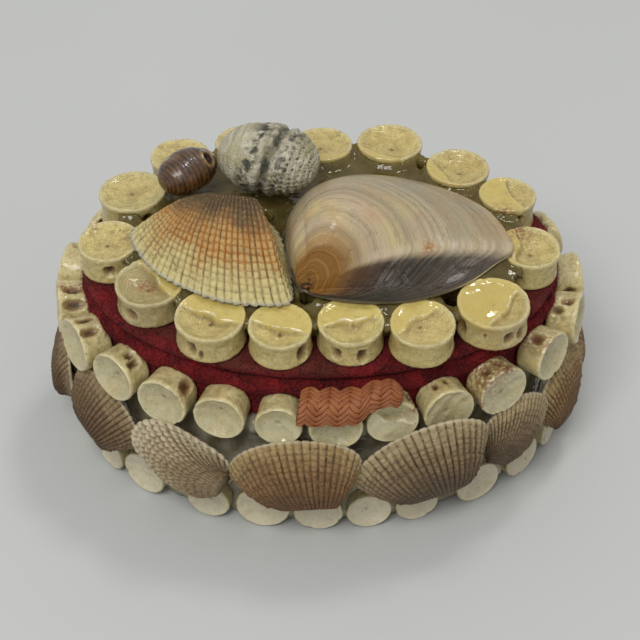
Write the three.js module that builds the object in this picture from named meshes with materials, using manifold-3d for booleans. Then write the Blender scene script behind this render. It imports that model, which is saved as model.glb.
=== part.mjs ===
// An oval keepsake box: velvet over a stiff card wall, set outside with two rows
// of fish vertebrae and a row of ark shells, and on its lift-off lid with a ring
// of vertebrae round four larger shells bedded in clear glue.
// Millimetres, +Z up, +X along the oval, -Y to the front where the pull tab is.

import * as THREE from 'three';
import { mergeVertices } from 'three/addons/utils/BufferGeometryUtils.js';
import Module from 'manifold-3d';

const wasm = await Module();
wasm.setup();

// ---------------------------------------------------------------- dimensions
const GAP = 0.3; // clearance between pieces that touch
const OVAL_STEPS = 32; // facets round an oval ring
const DISC_SIDES = { lid: 12, upper: 10, lower: 10 }; // facets round a vertebra

const WALL = { a: 54, b: 37.5, thick: 3, floor: 3 }; // outer half-axes of the wall
const ROLL = { low: 44, high: 46.1, bulge: 1.8 }; // padded velvet rim of the wall
const LID = { low: 46.4, high: 49, a: 55.4, b: 38.9 }; // lid board, half-axes outside
const LID_PLUG = { drop: 2, play: 0.7 }; // inner board under the lid that centres it
const BAND = { low: 0.4, high: 29.5, thick: 2.4 }; // clear glue round the wall
const BED = { low: 49.3, high: 56.8, a: 46, b: 30 }; // clear glue on the lid
const ROW_Z = { lid: 57, upper: 37 }; // lid faces, upper centres
const LENGTH = { lid: 7.2, lower: 4.2 }; // vertebra lengths; the upper ones vary
const SUNK = 1; // the lower vertebrae start this far out from the wall
const TAPER = { upper: 0.9, lower: 0.97 }; // back radius of a vertebra to its front radius
const LEAN = { lid: 4.5, upper: 3 }; // degrees that vertebrae tip outwards and up
const DISH = { rim: 1.1, deep: 0.11, waist: 0.94 }; // vertebra face and waist; last two to its radius
const RIBS = { side: 0.35, lid: 0.4 }; // how far every second direction of an ark valve stands out
const GROOVE = 0.1; // depth of a snail's seam to its radius

// Lid vertebrae, clockwise seen from above from the left end: x, y, radius.
const LID_ROW = [
  [-43.9, 13.2, 8.1], [-33.3, 26.4, 7.3], [-17.9, 31.3, 7.4], [0.5, 30.6, 7.4], [16.7, 31.3, 8.0],
  [32.6, 22.0, 7.7], [43.8, 12.0, 6.9], [47.8, -6.4, 7.3], [38.6, -25.1, 8.4], [22.6, -31.5, 7.5],
  [6.8, -30.8, 7.6], [-8.8, -32.3, 7.3], [-24.3, -29.2, 8.1], [-38.3, -18.2, 8.0], [-48.3, -4.2, 7.3],
];

// Upper vertebrae at the front: angle on the oval in degrees, radius, length.
const UPPER_FRONT = [
  [-174, 6.4, 7.0], [-157.5, 6.6, 7.2], [-141.5, 6.3, 6.8], [-126.5, 6.3, 7.2], [-112.4, 6.1, 6.8],
  [-99, 5.5, 6.9], [-86.6, 6.2, 7.2], [-74, 6.1, 6.4], [-60.8, 6.2, 6.7], [-46.3, 6.5, 6.9],
  [-28, 6.2, 6.7], [-11, 6.3, 7.0],
];
// The rest of the row is spaced evenly over the back.
const UPPER_BACK = { from: 6, to: 170, count: 11, radius: 6.2, length: 6.9 };

// Lower vertebrae at the front: angle in degrees, radius.
const LOWER_FRONT = [
  [-164, 5.4], [-150.5, 5.2], [-136.3, 5.9], [-117.3, 5.4], [-103.6, 6.4], [-90.4, 5.8],
  [-78.4, 5.4], [-66.6, 5.2], [-49.6, 5.9], [-33.5, 5.5], [-17, 5.6],
];
const LOWER_BACK = { from: 1, to: 180, count: 11, radius: 5.6 };

// Ark shells of the middle row at the front. turn: angle on the oval; z: centre
// height; wide, tall, deep: the valve; roll: 0 with the beak down, 90 with it to
// the right; out: from the wall to the valve's back; lean: top outwards, degrees.
const SHELLS_FRONT = [
  { turn: -148.5, z: 21, wide: 22, tall: 18.5, deep: 5.5, roll: -30, out: 4.7, lean: 2 },
  { turn: -121.5, z: 20.5, wide: 22, tall: 25, deep: 6.0, roll: 74, out: 6.3, lean: 9 },
  { turn: -95.3, z: 22.2, wide: 29.6, tall: 22.6, deep: 6.0, roll: 8, out: 6.3, lean: 9 },
  { turn: -66.7, z: 22.5, wide: 31, tall: 24, deep: 6.0, roll: 14, out: 6.3, lean: 9 },
  { turn: -42.6, z: 22, wide: 18.5, tall: 20, deep: 4.5, roll: -42, out: 5.6, lean: 5 },
  { turn: -19, z: 19, wide: 20.5, tall: 21, deep: 5.0, roll: -8, out: 4.6, lean: 1 },
];
// The rest of that row is spaced evenly over the back, tipped right and left in turn.
const SHELLS_BACK = {
  from: 9, to: 181, count: 7, z: 18.5, wide: 24.8, tall: 20.5, deep: 5.5, roll: 10, out: 4.7, lean: 1,
};

// The two valves on the lid: the margin seen from above and the beak inside it;
// facing: from the beak to the far edge; lift: swell over the margin; lean: how
// much of it is lost towards the hinge; curl: tightness of the spiral; widen: how
// the right and left sides grow with the rest.
const ARK = {
  margin: [
    [-41.9, -2.4], [-40.4, -8.2], [-36.2, -15], [-29, -20.8], [-21.5, -24.6], [-14, -25.9],
    [-7.4, -25.2], [-7.2, -19], [-9, -8], [-11.4, -1], [-17, 4], [-27, 5], [-36.6, 2.4],
  ],
  beak: [-24, 4], base: 58, facing: -108, lift: 0.82, lean: 0.45, curl: 0.8,
  widen: [1.2, 0.8], sectors: 40,
};
const CLAM = {
  margin: [
    [43.5, -9.6], [42.8, -4], [38, 5], [29, 11.8], [17, 16], [6, 15.2], [-2.6, 10.4],
    [-7.2, 2], [-7.8, -8], [-6.8, -16], [-4.8, -21.6], [-0.6, -24.4], [8, -26.2], [17, -26.4],
    [25, -24.4], [33, -20], [39.6, -13.6],
  ],
  beak: [-3, -22.9], base: 58, facing: 93, lift: 0.9, lean: 0.75, curl: 0.8,
  widen: [1.5, 0.45], sectors: 32,
};
const STEEPEST = 80; // a valve's spiral stops at this slope by the beak
const RIM = 0.9; // thickness of a valve at its margin

const TURBAN = { at: [-12, 15.2, 65.2], half: [12, 9.8, 8.1], heading: -14, whorls: 2.6, taper: 0.05 };
const WINKLE = { at: [-30.6, 13.4, 63], half: [7.6, 6.2, 5.6], heading: 42, whorls: 3, taper: 0.2 };

const TAB = { left: -4.6, right: 18.4, thick: 1.1, top: 44.1, inner: 40.2, nose: 46.2 };

const COLOURS = {
  velvet: 0x6f0f1a, glue: 0xb9bbab, bone: 0xd9cfa4, boneLid: 0xd8c981, ark: 0x9c8568,
  arkLid: 0xc8b37e, clam: 0xa79c87, turban: 0xb9b8a4, winkle: 0x5c4038, braid: 0x9d5b3f,
};

// ------------------------------------------------------------------- helpers
const radians = THREE.MathUtils.degToRad;
const lerp = THREE.MathUtils.lerp;

/** A mesh with its own material. */
function piece(name, geometry, colour, roughness = 0.6) {
  const material = new THREE.MeshStandardMaterial({ color: colour, roughness, metalness: 0 });
  const mesh = new THREE.Mesh(geometry, material);
  mesh.name = name;
  return mesh;
}

/** Only positions, with shared corners merged. */
function weld(geometry) {
  geometry.deleteAttribute('normal');
  geometry.deleteAttribute('uv');
  return mergeVertices(geometry, 1e-4);
}

function fromArrays(corners, faces) {
  const geometry = new THREE.BufferGeometry();
  geometry.setAttribute('position', new THREE.Float32BufferAttribute(corners.flat(), 3));
  geometry.setIndex(faces.flat());
  return geometry;
}

function toSolid(geometry, matrix = new THREE.Matrix4()) {
  const welded = weld(geometry.clone()).applyMatrix4(matrix);
  return new wasm.Manifold(new wasm.Mesh({
    numProp: 3,
    vertProperties: new Float32Array(welded.attributes.position.array),
    triVerts: new Uint32Array(welded.index.array),
  }));
}

function fromSolid(solid) {
  const mesh = solid.getMesh();
  const geometry = new THREE.BufferGeometry();
  geometry.setAttribute('position', new THREE.BufferAttribute(mesh.vertProperties, 3));
  geometry.setIndex(new THREE.BufferAttribute(mesh.triVerts, 1));
  return geometry;
}

/** A closed skin of rings of equal count, capped by a fan at each end. */
function skin(start, rings, end) {
  const count = rings[0].length;
  const corners = [start, ...rings.flat(), end];
  const last = corners.length - 1;
  const at = (ring, step) => 1 + ring * count + (step % count);
  const faces = [];
  for (let step = 0; step < count; step++) {
    faces.push([0, at(0, step), at(0, step + 1)]);
    for (let ring = 0; ring + 1 < rings.length; ring++) {
      faces.push([at(ring, step), at(ring + 1, step), at(ring + 1, step + 1)]);
      faces.push([at(ring, step), at(ring + 1, step + 1), at(ring, step + 1)]);
    }
    faces.push([at(rings.length - 1, step), last, at(rings.length - 1, step + 1)]);
  }
  return outwards(fromArrays(corners, faces));
}

/** An oval solid turned from a profile of [offset from the wall's oval, height]. */
function ovalTurned(profile, endZ, startZ) {
  const rings = profile.map(([offset, z]) => ovalRing(WALL.a + offset, WALL.b + offset, z));
  return skin([0, 0, startZ], rings, [0, 0, endZ]);
}

function ovalRing(a, b, z, count = OVAL_STEPS) {
  return Array.from({ length: count }, (_, step) => {
    const turn = (2 * Math.PI * step) / count;
    return [a * Math.cos(turn), b * Math.sin(turn), z];
  });
}

/** A frame on the wall: X along it to the right, Y up, Z outwards. */
function wallFrame(turn, z, out = 0) {
  const angle = radians(turn);
  const place = new THREE.Vector3(WALL.a * Math.cos(angle), WALL.b * Math.sin(angle), z);
  const outward = new THREE.Vector3(Math.cos(angle) / WALL.a, Math.sin(angle) / WALL.b, 0).normalize();
  const up = new THREE.Vector3(0, 0, 1);
  const along = new THREE.Vector3().crossVectors(up, outward);
  return new THREE.Matrix4()
    .makeBasis(along, up, outward)
    .setPosition(place.addScaledVector(outward, out));
}

// -------------------------------------------------------------------- pieces
/** A vertebra: a short spool, dished in front, its back end at z = 0. */
function vertebra(radius, length, sides, taper = 1) {
  const waist = DISH.waist * radius * (1 + taper) / 2;
  const waisted = length > LENGTH.lower ? [[waist, length / 2]] : [];
  const profile = [
    [0, 0], [taper * radius, 0], ...waisted, [radius, length],
    [radius - DISH.rim, length], [0, length - DISH.deep * radius],
  ].map(([across, up]) => new THREE.Vector2(across, up));
  const turned = weld(new THREE.LatheGeometry(profile, sides));
  return turned.rotateX(Math.PI / 2);
}

/** Card box with its floor, and the padded velvet rim that rolls outwards. */
function boxGeometry() {
  const inner = -WALL.thick;
  const profile = [
    [0, 0], [0, ROLL.low],
    [0.75 * ROLL.bulge, ROLL.low + 0.2], [ROLL.bulge, ROLL.low + 0.9],
    [0.6 * ROLL.bulge, ROLL.high], [inner + 0.5, ROLL.high],
    [inner, ROLL.high - 0.5], [inner, WALL.floor],
  ];
  return ovalTurned(profile, WALL.floor, 0);
}

/** Lid board with rounded velvet edges and a thinner inner board underneath. */
function lidGeometry() {
  const edge = LID.a - WALL.a;
  const plug = -WALL.thick - LID_PLUG.play;
  const profile = [
    [plug, LID.low - LID_PLUG.drop], [plug, LID.low],
    [edge - 0.6, LID.low], [edge, lerp(LID.low, LID.high, 0.4)],
    [edge - 0.5, LID.high - 0.3], [edge - 1.6, LID.high],
  ];
  return ovalTurned(profile, LID.high, LID.low - LID_PLUG.drop);
}

/** Matrix of a lid vertebra: it leans a few degrees outwards. */
function lidDiscMatrix([x, y, radius]) {
  const outward = new THREE.Vector3(x / BED.a ** 2, y / BED.b ** 2, 0).normalize();
  const leanAxis = new THREE.Vector3(-outward.y, outward.x, 0);
  const turn = new THREE.Matrix4().makeRotationAxis(leanAxis, radians(LEAN.lid));
  const faceToBack = new THREE.Vector3(0, 0, -LENGTH.lid).applyMatrix4(turn);
  return turn.setPosition(faceToBack.add(new THREE.Vector3(x, y, ROW_Z.lid)));
}

/** Matrix of an upper vertebra: its axis stands out from the wall, tipped up. */
function upperDiscMatrix(turn, radius) {
  const lean = radians(LEAN.upper);
  return wallFrame(turn, ROW_Z.upper, GAP + radius * Math.sin(lean))
    .multiply(new THREE.Matrix4().makeRotationX(-lean));
}

/**
 * A valve wound from its beak: its growth lines are copies of the margin that shrink
 * towards the beak while they turn up about the hinge.
 */
function valve(shape, ribDepth, shares) {
  const { margin, beak, base, facing, lift, lean, curl, widen, sectors } = shape;
  const far = new THREE.Vector2(Math.cos(radians(facing)), Math.sin(radians(facing)));
  const side = new THREE.Vector2(far.y, -far.x);
  const middle = new THREE.Vector2(...beak);
  const outline = new THREE.CatmullRomCurve3(
    margin.map(([x, y]) => new THREE.Vector3(x, y, 0)), true, 'centripetal',
  );
  const rays = Array.from({ length: sectors }, (_, step) => {
    const edge = outline.getPoint(step / sectors);
    return new THREE.Vector2(edge.x, edge.y).sub(middle);
  });
  const rings = shares.map((share) => {
    const bend = Math.min(-Math.log(share) / curl, radians(STEEPEST));
    return rays.map((ray, step) => {
      const [out, aside] = [ray.dot(far), ray.dot(side)];
      const grown = aside * share ** (aside > 0 ? widen[0] : widen[1]);
      const reach = out * share * (out > 0 ? Math.cos(bend) : 1);
      const crest = lift * Math.max(out, 0) ** lean * ray.length() ** (1 - lean);
      const open = THREE.MathUtils.smoothstep(out / ray.length(), 0, 0.5);
      const rib = ribDepth * share * (step % 2 ? -1 : 1) * open;
      const height = share < 1 ? RIM + crest * share * Math.sin(bend) + rib : 0;
      const spot = middle.clone().addScaledVector(side, grown).addScaledVector(far, reach);
      return [spot.x, spot.y, base + height];
    });
  });
  return skin([...beak, base + RIM], rings, [...beak, base]);
}

/** Turns a skin the right way out, whichever way its outline ran. */
function outwards(geometry) {
  const position = geometry.attributes.position;
  const index = geometry.index;
  const [a, b, c] = [0, 1, 2].map(() => new THREE.Vector3());
  let volume = 0;
  for (let i = 0; i < index.count; i += 3) {
    a.fromBufferAttribute(position, index.getX(i));
    b.fromBufferAttribute(position, index.getX(i + 1));
    c.fromBufferAttribute(position, index.getX(i + 2));
    volume += a.dot(b.cross(c));
  }
  if (volume < 0) {
    for (let i = 0; i < index.count; i += 3) {
      const kept = index.getX(i + 1);
      index.setX(i + 1, index.getX(i + 2));
      index.setX(i + 2, kept);
    }
  }
  return geometry;
}

const ARK_CREST = Math.exp(-Math.PI / 4) * Math.SQRT1_2; // highest point of a spiral of curl 1

/** Margin of an ark shell, beak side down: a fan with a drawn-out left wing. */
function arkMargin(wide, tall) {
  return [
    [0.10, -0.46], [0.34, -0.36], [0.47, -0.06], [0.50, 0.26], [0.36, 0.44], [0.08, 0.52],
    [-0.22, 0.46], [-0.43, 0.27], [-0.50, 0.02], [-0.40, -0.20], [-0.16, -0.40],
  ].map(([x, y]) => [x * wide, y * tall]);
}

function arkShell({ wide, tall, deep }) {
  const reach = 0.95 * tall;
  return valve({
    margin: arkMargin(wide, tall), beak: [0.09 * wide, -0.43 * tall], base: 0, facing: 90,
    lift: (deep - RIM) / (ARK_CREST * reach), lean: 0.3, curl: 1, widen: [0.65, 0.65], sectors: 18,
  }, RIBS.side, [0.22, 0.48, 0.8, 1]);
}

function shellMatrix({ turn, z, roll, out, lean }) {
  return wallFrame(turn, z, out)
    .multiply(new THREE.Matrix4().makeRotationX(radians(lean)))
    .multiply(new THREE.Matrix4().makeRotationZ(radians(roll)));
}

/** A snail: an egg-shaped body grooved by the seam that winds round its axis. */
function snail({ half, whorls, taper }, sides = 14, steps = 8) {
  const rings = Array.from({ length: steps }, (_, ring) => {
    const share = (ring + 1) / (steps + 1);
    const along = -half[0] * Math.cos(Math.PI * share);
    const body = Math.sin(Math.PI * share) ** 0.9 * (1 - taper * share);
    return Array.from({ length: sides }, (_, side) => {
      const turn = (2 * Math.PI * side) / sides;
      const seam = Math.cos(2 * Math.PI * (share * whorls - side / sides));
      const radius = body * (1 - GROOVE * (0.5 + 0.5 * seam));
      return [along, half[1] * radius * Math.cos(turn), half[2] * radius * Math.sin(turn)];
    });
  });
  return skin([-half[0], 0, 0], rings, [half[0], 0, 0]);
}

function place(geometry, { at, heading }) {
  return geometry.rotateZ(radians(heading)).translate(...at);
}

/** The braided tab: a strip laid over the upper row and folded down its faces. */
function tabGeometry() {
  const across = [[TAB.inner, 0], [lerp(TAB.inner, TAB.nose, 0.6), 0.5], [TAB.nose - 0.8, 0.2],
    [TAB.nose, -1.6], [TAB.nose + 0.1, -3.6]];
  const steps = 8;
  const grid = Array.from({ length: steps + 1 }, (_, step) => {
    const share = step / steps;
    const x = lerp(TAB.left, TAB.right, share);
    const reach = lerp(1, 0.55, THREE.MathUtils.smoothstep(share, 0.45, 0.95));
    const lift = 1.5 * THREE.MathUtils.smoothstep(share, 0.55, 0.95);
    return across.map(([out, up], row) => {
      const drawn = TAB.inner + (out - TAB.inner) * reach;
      const drop = row > 2 ? lerp(up, up * 0.3, 1 - reach) : up;
      return [x, -drawn * Math.sqrt(1 - (0.55 * x / WALL.a) ** 2), TAB.top + lift + drop];
    });
  });
  return outwards(sheet(grid, TAB.thick));
}

/** A sheet of even thickness over a grid of points on its underside. */
function sheet(grid, thick) {
  const rows = grid.length;
  const columns = grid[0].length;
  const at = (side, row, column) => (side * rows + row) * columns + column;
  const normalAt = (row, column) => {
    const pick = (r, c) => new THREE.Vector3(...grid[THREE.MathUtils.clamp(r, 0, rows - 1)][
      THREE.MathUtils.clamp(c, 0, columns - 1)]);
    const along = pick(row + 1, column).sub(pick(row - 1, column));
    const over = pick(row, column + 1).sub(pick(row, column - 1));
    return over.cross(along).normalize();
  };
  const under = grid.flat();
  const over = grid.flatMap((line, row) => line.map((point, column) => {
    return new THREE.Vector3(...point).addScaledVector(normalAt(row, column), thick).toArray();
  }));
  const faces = [];
  const quad = (a, b, c, d) => faces.push([a, b, c], [a, c, d]);
  for (let row = 0; row + 1 < rows; row++) {
    for (let column = 0; column + 1 < columns; column++) {
      const corners = [[row, column], [row + 1, column], [row + 1, column + 1], [row, column + 1]];
      quad(...corners.map(([r, c]) => at(0, r, c)));
      quad(...corners.map(([r, c]) => at(1, r, c)).reverse());
    }
    quad(at(0, row, 0), at(1, row, 0), at(1, row + 1, 0), at(0, row + 1, 0));
    const end = columns - 1;
    quad(at(0, row, end), at(0, row + 1, end), at(1, row + 1, end), at(1, row, end));
  }
  for (let column = 0; column + 1 < columns; column++) {
    const end = rows - 1;
    quad(at(0, 0, column), at(0, 0, column + 1), at(1, 0, column + 1), at(1, 0, column));
    quad(at(0, end, column), at(1, end, column), at(1, end, column + 1), at(0, end, column + 1));
  }
  return fromArrays([...under, ...over], faces);
}

// -------------------------------------------------------------------- the box
const model = new THREE.Group();
model.add(piece('box', boxGeometry(), COLOURS.velvet, 0.95));
model.add(piece('lid', lidGeometry(), COLOURS.velvet, 0.95));

const numbered = (name, index) => `${name}_${String(index + 1).padStart(2, '0')}`;

/** Angles that divide a stretch of the wall into steps of even length. */
function evenTurns({ from, to, count }) {
  const side = (turn) => Math.hypot(WALL.a * Math.sin(radians(turn)), WALL.b * Math.cos(radians(turn)));
  let total = 0;
  for (let turn = from; turn < to; turn++) total += side(turn + 0.5);
  const turns = [from];
  let walked = 0;
  for (let turn = from; turns.length < count - 1; turn += 0.25) {
    walked += 0.25 * side(turn);
    if (walked >= (turns.length * total) / (count - 1)) turns.push(turn + 0.25);
  }
  return [...turns, to];
}

/** The vertebrae of a row that go round the back, of slightly varied size. */
function backDiscs(row) {
  return evenTurns(row).map((turn, index) => {
    return [turn, row.radius * (1 + 0.04 * Math.sin(7 * index)), row.length];
  });
}

// Ring of vertebrae on the lid, and the glue poured between them.
const lidDiscs = LID_ROW.map((row) => [row, lidDiscMatrix(row)]);
let bed = toSolid(skin([0, 0, BED.low], [ovalRing(BED.a, BED.b, BED.low),
  ovalRing(BED.a, BED.b, BED.high)], [0, 0, BED.high]));
lidDiscs.forEach(([[, , radius], matrix], index) => {
  const geometry = vertebra(radius, LENGTH.lid, DISC_SIDES.lid);
  const disc = piece(numbered('lid_vertebra', index), geometry, COLOURS.boneLid, 0.35);
  disc.applyMatrix4(matrix);
  model.add(disc);
  const clear = radius + GAP;
  const room = new THREE.CylinderGeometry(clear, clear, 3 * LENGTH.lid, DISC_SIDES.lid);
  bed = bed.subtract(toSolid(room.rotateX(Math.PI / 2), matrix));
});
const inside = bed.decompose().sort((one, two) => two.volume() - one.volume())[0];
model.add(piece('lid_glue', fromSolid(inside), COLOURS.glue, 0.1));

// Upper row of vertebrae, standing on edge against the wall.
[...UPPER_FRONT, ...backDiscs(UPPER_BACK)].forEach(([turn, radius, length], index) => {
  const geometry = vertebra(radius, length, DISC_SIDES.upper, TAPER.upper);
  const disc = piece(numbered('upper_vertebra', index), geometry, COLOURS.bone);
  disc.applyMatrix4(upperDiscMatrix(turn, radius));
  model.add(disc);
});

// Lower row, fused to the band of glue that holds it and the shells to the wall.
const bandRings = [
  [GAP, BAND.low], [BAND.thick, BAND.low], [BAND.thick, BAND.high], [GAP, BAND.high],
].map(([offset, z]) => ovalRing(WALL.a + offset, WALL.b + offset, z));
let lowerRow = toSolid(hoop(bandRings));
[...LOWER_FRONT, ...backDiscs(LOWER_BACK)].forEach(([turn, radius]) => {
  const geometry = vertebra(radius, LENGTH.lower - SUNK, DISC_SIDES.lower, TAPER.lower);
  lowerRow = lowerRow.add(toSolid(geometry, wallFrame(turn, radius + 0.05, SUNK)));
});
model.add(piece('lower_row', fromSolid(lowerRow), COLOURS.bone));

/** A closed hoop through rings that come back to the first. */
function hoop(rings) {
  const count = rings[0].length;
  const at = (ring, step) => (ring % rings.length) * count + (step % count);
  const faces = [];
  for (let ring = 0; ring < rings.length; ring++) {
    for (let step = 0; step < count; step++) {
      faces.push([at(ring, step), at(ring, step + 1), at(ring + 1, step + 1)]);
      faces.push([at(ring, step), at(ring + 1, step + 1), at(ring + 1, step)]);
    }
  }
  return outwards(fromArrays(rings.flat(), faces));
}

// Middle row of ark shells.
const shellsBack = evenTurns(SHELLS_BACK).map((turn, index) => {
  return { ...SHELLS_BACK, turn, roll: SHELLS_BACK.roll * (index % 2 ? -1 : 1) };
});
[...SHELLS_FRONT, ...shellsBack].forEach((row, index) => {
  const shell = piece(numbered('ark_shell', index), arkShell(row), COLOURS.ark, 0.7);
  shell.applyMatrix4(shellMatrix(row));
  model.add(shell);
});

// The four shells on the lid, and the tab that lifts it.
model.add(piece('lid_ark_shell', valve(ARK, RIBS.lid, [0.18, 0.36, 0.62, 0.85, 1]), COLOURS.arkLid));
model.add(piece('lid_clam_shell', valve(CLAM, 0, [0.15, 0.32, 0.5, 0.7, 0.88, 1]), COLOURS.clam, 0.3));
model.add(piece('lid_turban_shell', place(snail(TURBAN), TURBAN), COLOURS.turban, 0.5));
model.add(piece('lid_winkle_shell', place(snail(WINKLE, 12), WINKLE), COLOURS.winkle, 0.4));
model.add(piece('pull_tab', tabGeometry(), COLOURS.braid, 0.5));

// The origin is under the middle of the finished box.
const bounds = new THREE.Box3().setFromObject(model, true);
const middle = bounds.getCenter(new THREE.Vector3());
model.position.set(-middle.x, -middle.y, -bounds.min.z);

export default model;
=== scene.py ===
# The looks of an oval keepsake box: red velvet over card, rows of fish vertebrae and
# ark shells round the wall, and a lid with vertebrae round four larger shells in clear glue.
# Sizes are millimetres from the middle of the foot of the box. make_piece and pull_tab turn
# them into metres in the frame of the CAD part.

import math

import bpy
import numpy as np
from mathutils import Matrix, Vector


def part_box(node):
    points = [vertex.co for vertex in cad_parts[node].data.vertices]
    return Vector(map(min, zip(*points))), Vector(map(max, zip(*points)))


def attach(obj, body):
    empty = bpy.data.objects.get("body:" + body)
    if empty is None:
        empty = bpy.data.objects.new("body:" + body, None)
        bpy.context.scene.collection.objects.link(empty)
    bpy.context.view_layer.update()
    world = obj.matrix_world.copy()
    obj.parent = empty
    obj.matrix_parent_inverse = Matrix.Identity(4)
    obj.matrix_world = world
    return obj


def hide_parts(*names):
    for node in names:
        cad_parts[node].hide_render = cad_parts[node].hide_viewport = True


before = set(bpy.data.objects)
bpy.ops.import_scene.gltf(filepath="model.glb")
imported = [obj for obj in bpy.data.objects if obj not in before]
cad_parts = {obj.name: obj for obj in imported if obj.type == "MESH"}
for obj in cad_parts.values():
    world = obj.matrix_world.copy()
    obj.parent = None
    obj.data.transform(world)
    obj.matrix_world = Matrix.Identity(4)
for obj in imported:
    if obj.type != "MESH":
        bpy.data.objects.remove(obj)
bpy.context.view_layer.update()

# ---------------------------------------------------------------- dimensions
MM = 0.001
wall_low, wall_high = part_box("box")
CENTRE = np.array([(wall_low.x + wall_high.x) / 2, (wall_low.y + wall_high.y) / 2, 0]) / MM

# a and b are the half axes of an oval.
WALL = {"a": 54, "b": 37.5, "thick": 3, "floor": 3}
ROLL = {"high": 46.1, "bulge": 1.8}
LID = {"low": 46.4, "high": 49, "a": 55.4, "plug_drop": 2, "plug_play": 0.7}
BED = {"low": 49.2, "pool": 54.6, "a": 46, "b": 30}
ROW_Z = {"lid": 57, "upper": 37}
LENGTH = {"lid": 7.2, "lower": 3.2}
# The lower row starts this far from the wall, and the upper row leaves this gap to it.
LOWER_START = 1
GAP = 0.3
# Degrees that an upper vertebra is tipped, and that a lid vertebra leans outwards.
UPPER_TIP = 3
LID_LEAN = 4.5
# Mesh sides round a vertebra; a lid vertebra is at the front from number LID_FRONT on.
SIDES = {"lid_front": 144, "lid_back": 104, "upper_front": 100, "upper_back": 64, "lower": 64}
LID_FRONT = 9

# Lid vertebrae: x, y, radius.
LID_ROW = [
    (-43.9, 13.2, 8.1), (-33.3, 26.4, 7.3), (-17.9, 31.3, 7.4), (0.5, 30.6, 7.4), (16.7, 31.3, 8.0),
    (32.6, 22.0, 7.7), (43.8, 12.0, 6.9), (47.8, -6.4, 7.3), (38.6, -25.1, 8.4), (22.6, -31.5, 7.5),
    (6.8, -30.8, 7.6), (-8.8, -32.3, 7.3), (-24.3, -29.2, 8.1), (-38.3, -18.2, 8.0), (-48.3, -4.2, 7.3),
]
# Upper vertebrae at the front: angle on the oval, radius, length.
UPPER_FRONT = [
    (-174, 6.4, 7.0), (-157.5, 6.6, 7.2), (-141.5, 6.3, 6.8), (-126.5, 6.3, 7.2), (-112.4, 6.1, 6.8),
    (-99, 5.5, 6.9), (-86.6, 6.2, 7.2), (-74, 6.1, 6.4), (-60.8, 6.2, 6.7), (-46.3, 6.5, 6.9),
    (-28, 6.2, 6.7), (-11, 6.3, 7.0),
]
UPPER_BACK = {"from": 6, "to": 170, "count": 11, "radius": 6.2, "length": 6.9}
# Lower vertebrae at the front: angle, radius.
LOWER_FRONT = [
    (-164, 5.4), (-150.5, 5.2), (-136.3, 5.9), (-117.3, 5.4), (-103.6, 6.4), (-90.4, 5.8),
    (-78.4, 5.4), (-66.6, 5.2), (-49.6, 5.9), (-33.5, 5.5), (-17, 5.6),
]
LOWER_BACK = {"from": 1, "to": 180, "count": 11, "radius": 5.6}

# Ark shells at the front: angle, centre height, width, height, depth, roll, distance out, lean.
SHELLS_FRONT = [
    (-148.5, 21, 22, 18.5, 5.5, -30, 4.7, 2), (-121.5, 20.5, 22, 25, 6.0, 74, 6.3, 9),
    (-95.3, 22.2, 29.6, 22.6, 6.0, 8, 6.3, 9), (-66.7, 22.5, 31, 24, 6.0, 14, 6.3, 9),
    (-42.6, 22, 18.5, 20, 4.5, -42, 5.6, 5), (-19, 19, 20.5, 21, 5.0, -8, 4.6, 1),
]
SHELLS_BACK = {"from": 9, "to": 181, "count": 7, "shape": (18.5, 24.8, 20.5, 5.5), "roll": 10, "out": 4.7}

# The two valves on the lid, an ark and a clam: the margin seen from above and the beak inside
# it; facing: from the beak to the far edge; lift: swell over the margin; lean: how much of it
# is lost towards the hinge; curl: tightness of the spiral; widen: how the right and left
# sides grow.
ARK = {
    "margin": [
        (-41.9, -2.4), (-40.4, -8.2), (-36.2, -15), (-29, -20.8), (-21.5, -24.6), (-14, -25.9),
        (-7.4, -25.2), (-7.2, -19), (-9, -8), (-11.4, -1), (-17, 4), (-27, 5), (-36.6, 2.4),
    ],
    "beak": (-24, 4), "base": 58, "facing": -108, "lift": 0.82, "lean": 0.45, "curl": 0.8,
    "widen": (1.2, 0.8),
}
CLAM = {
    "margin": [
        (43.5, -9.6), (42.8, -4), (38, 5), (29, 11.8), (17, 16), (6, 15.2), (-2.6, 10.4),
        (-7.2, 2), (-7.8, -8), (-6.8, -16), (-4.8, -21.6), (-0.6, -24.4), (8, -26.2), (17, -26.4),
        (25, -24.4), (33, -20), (39.6, -13.6),
    ],
    "beak": (-3, -22.9), "base": 58, "facing": 93, "lift": 0.9, "lean": 0.75, "curl": 0.8,
    "widen": (1.5, 0.45),
}
# A valve turns up about its hinge by this many degrees at most; its margin stands this high.
STEEPEST = 80
RIM = 0.9
TURBAN = {"at": (-12, 15.2, 65.2), "half": (12, 9.8, 8.1), "heading": -14, "whorls": 2.6, "taper": 0.05}
WINKLE = {"at": (-30.6, 13.4, 63), "half": (7.6, 6.2, 5.6), "heading": 42, "whorls": 3, "taper": 0.2}
TAB = {"left": -4.6, "right": 18.4, "deep": 9.2, "top": 44.1, "inner": 40.2, "nose": 46.2}


# ------------------------------------------------------------------- helpers
def smoothstep(value, low, high):
    share = np.clip((value - low) / (high - low), 0, 1)
    return share * share * (3 - 2 * share)


def mix(one, other, share):
    return one + (other - one) * share


def wobble(seed, size, *coordinates):
    """Smooth irregular value from -1 to 1 whose swells measure size, the same each run."""
    rng = np.random.default_rng(seed)
    total = 0
    for _ in range(5):
        heading = rng.normal(size=len(coordinates))
        heading *= rng.uniform(0.7, 1.6) * 2 * math.pi / (size * np.linalg.norm(heading))
        phase = rng.uniform(0, 2 * math.pi)
        total = total + np.sin(sum(h * c for h, c in zip(heading, coordinates)) + phase)
    return total / 3.2


def turned(axis, degrees):
    return np.array(Matrix.Rotation(math.radians(degrees), 4, axis))


def moved(points, place):
    return points @ place[:3, :3].T + place[:3, 3]


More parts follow.
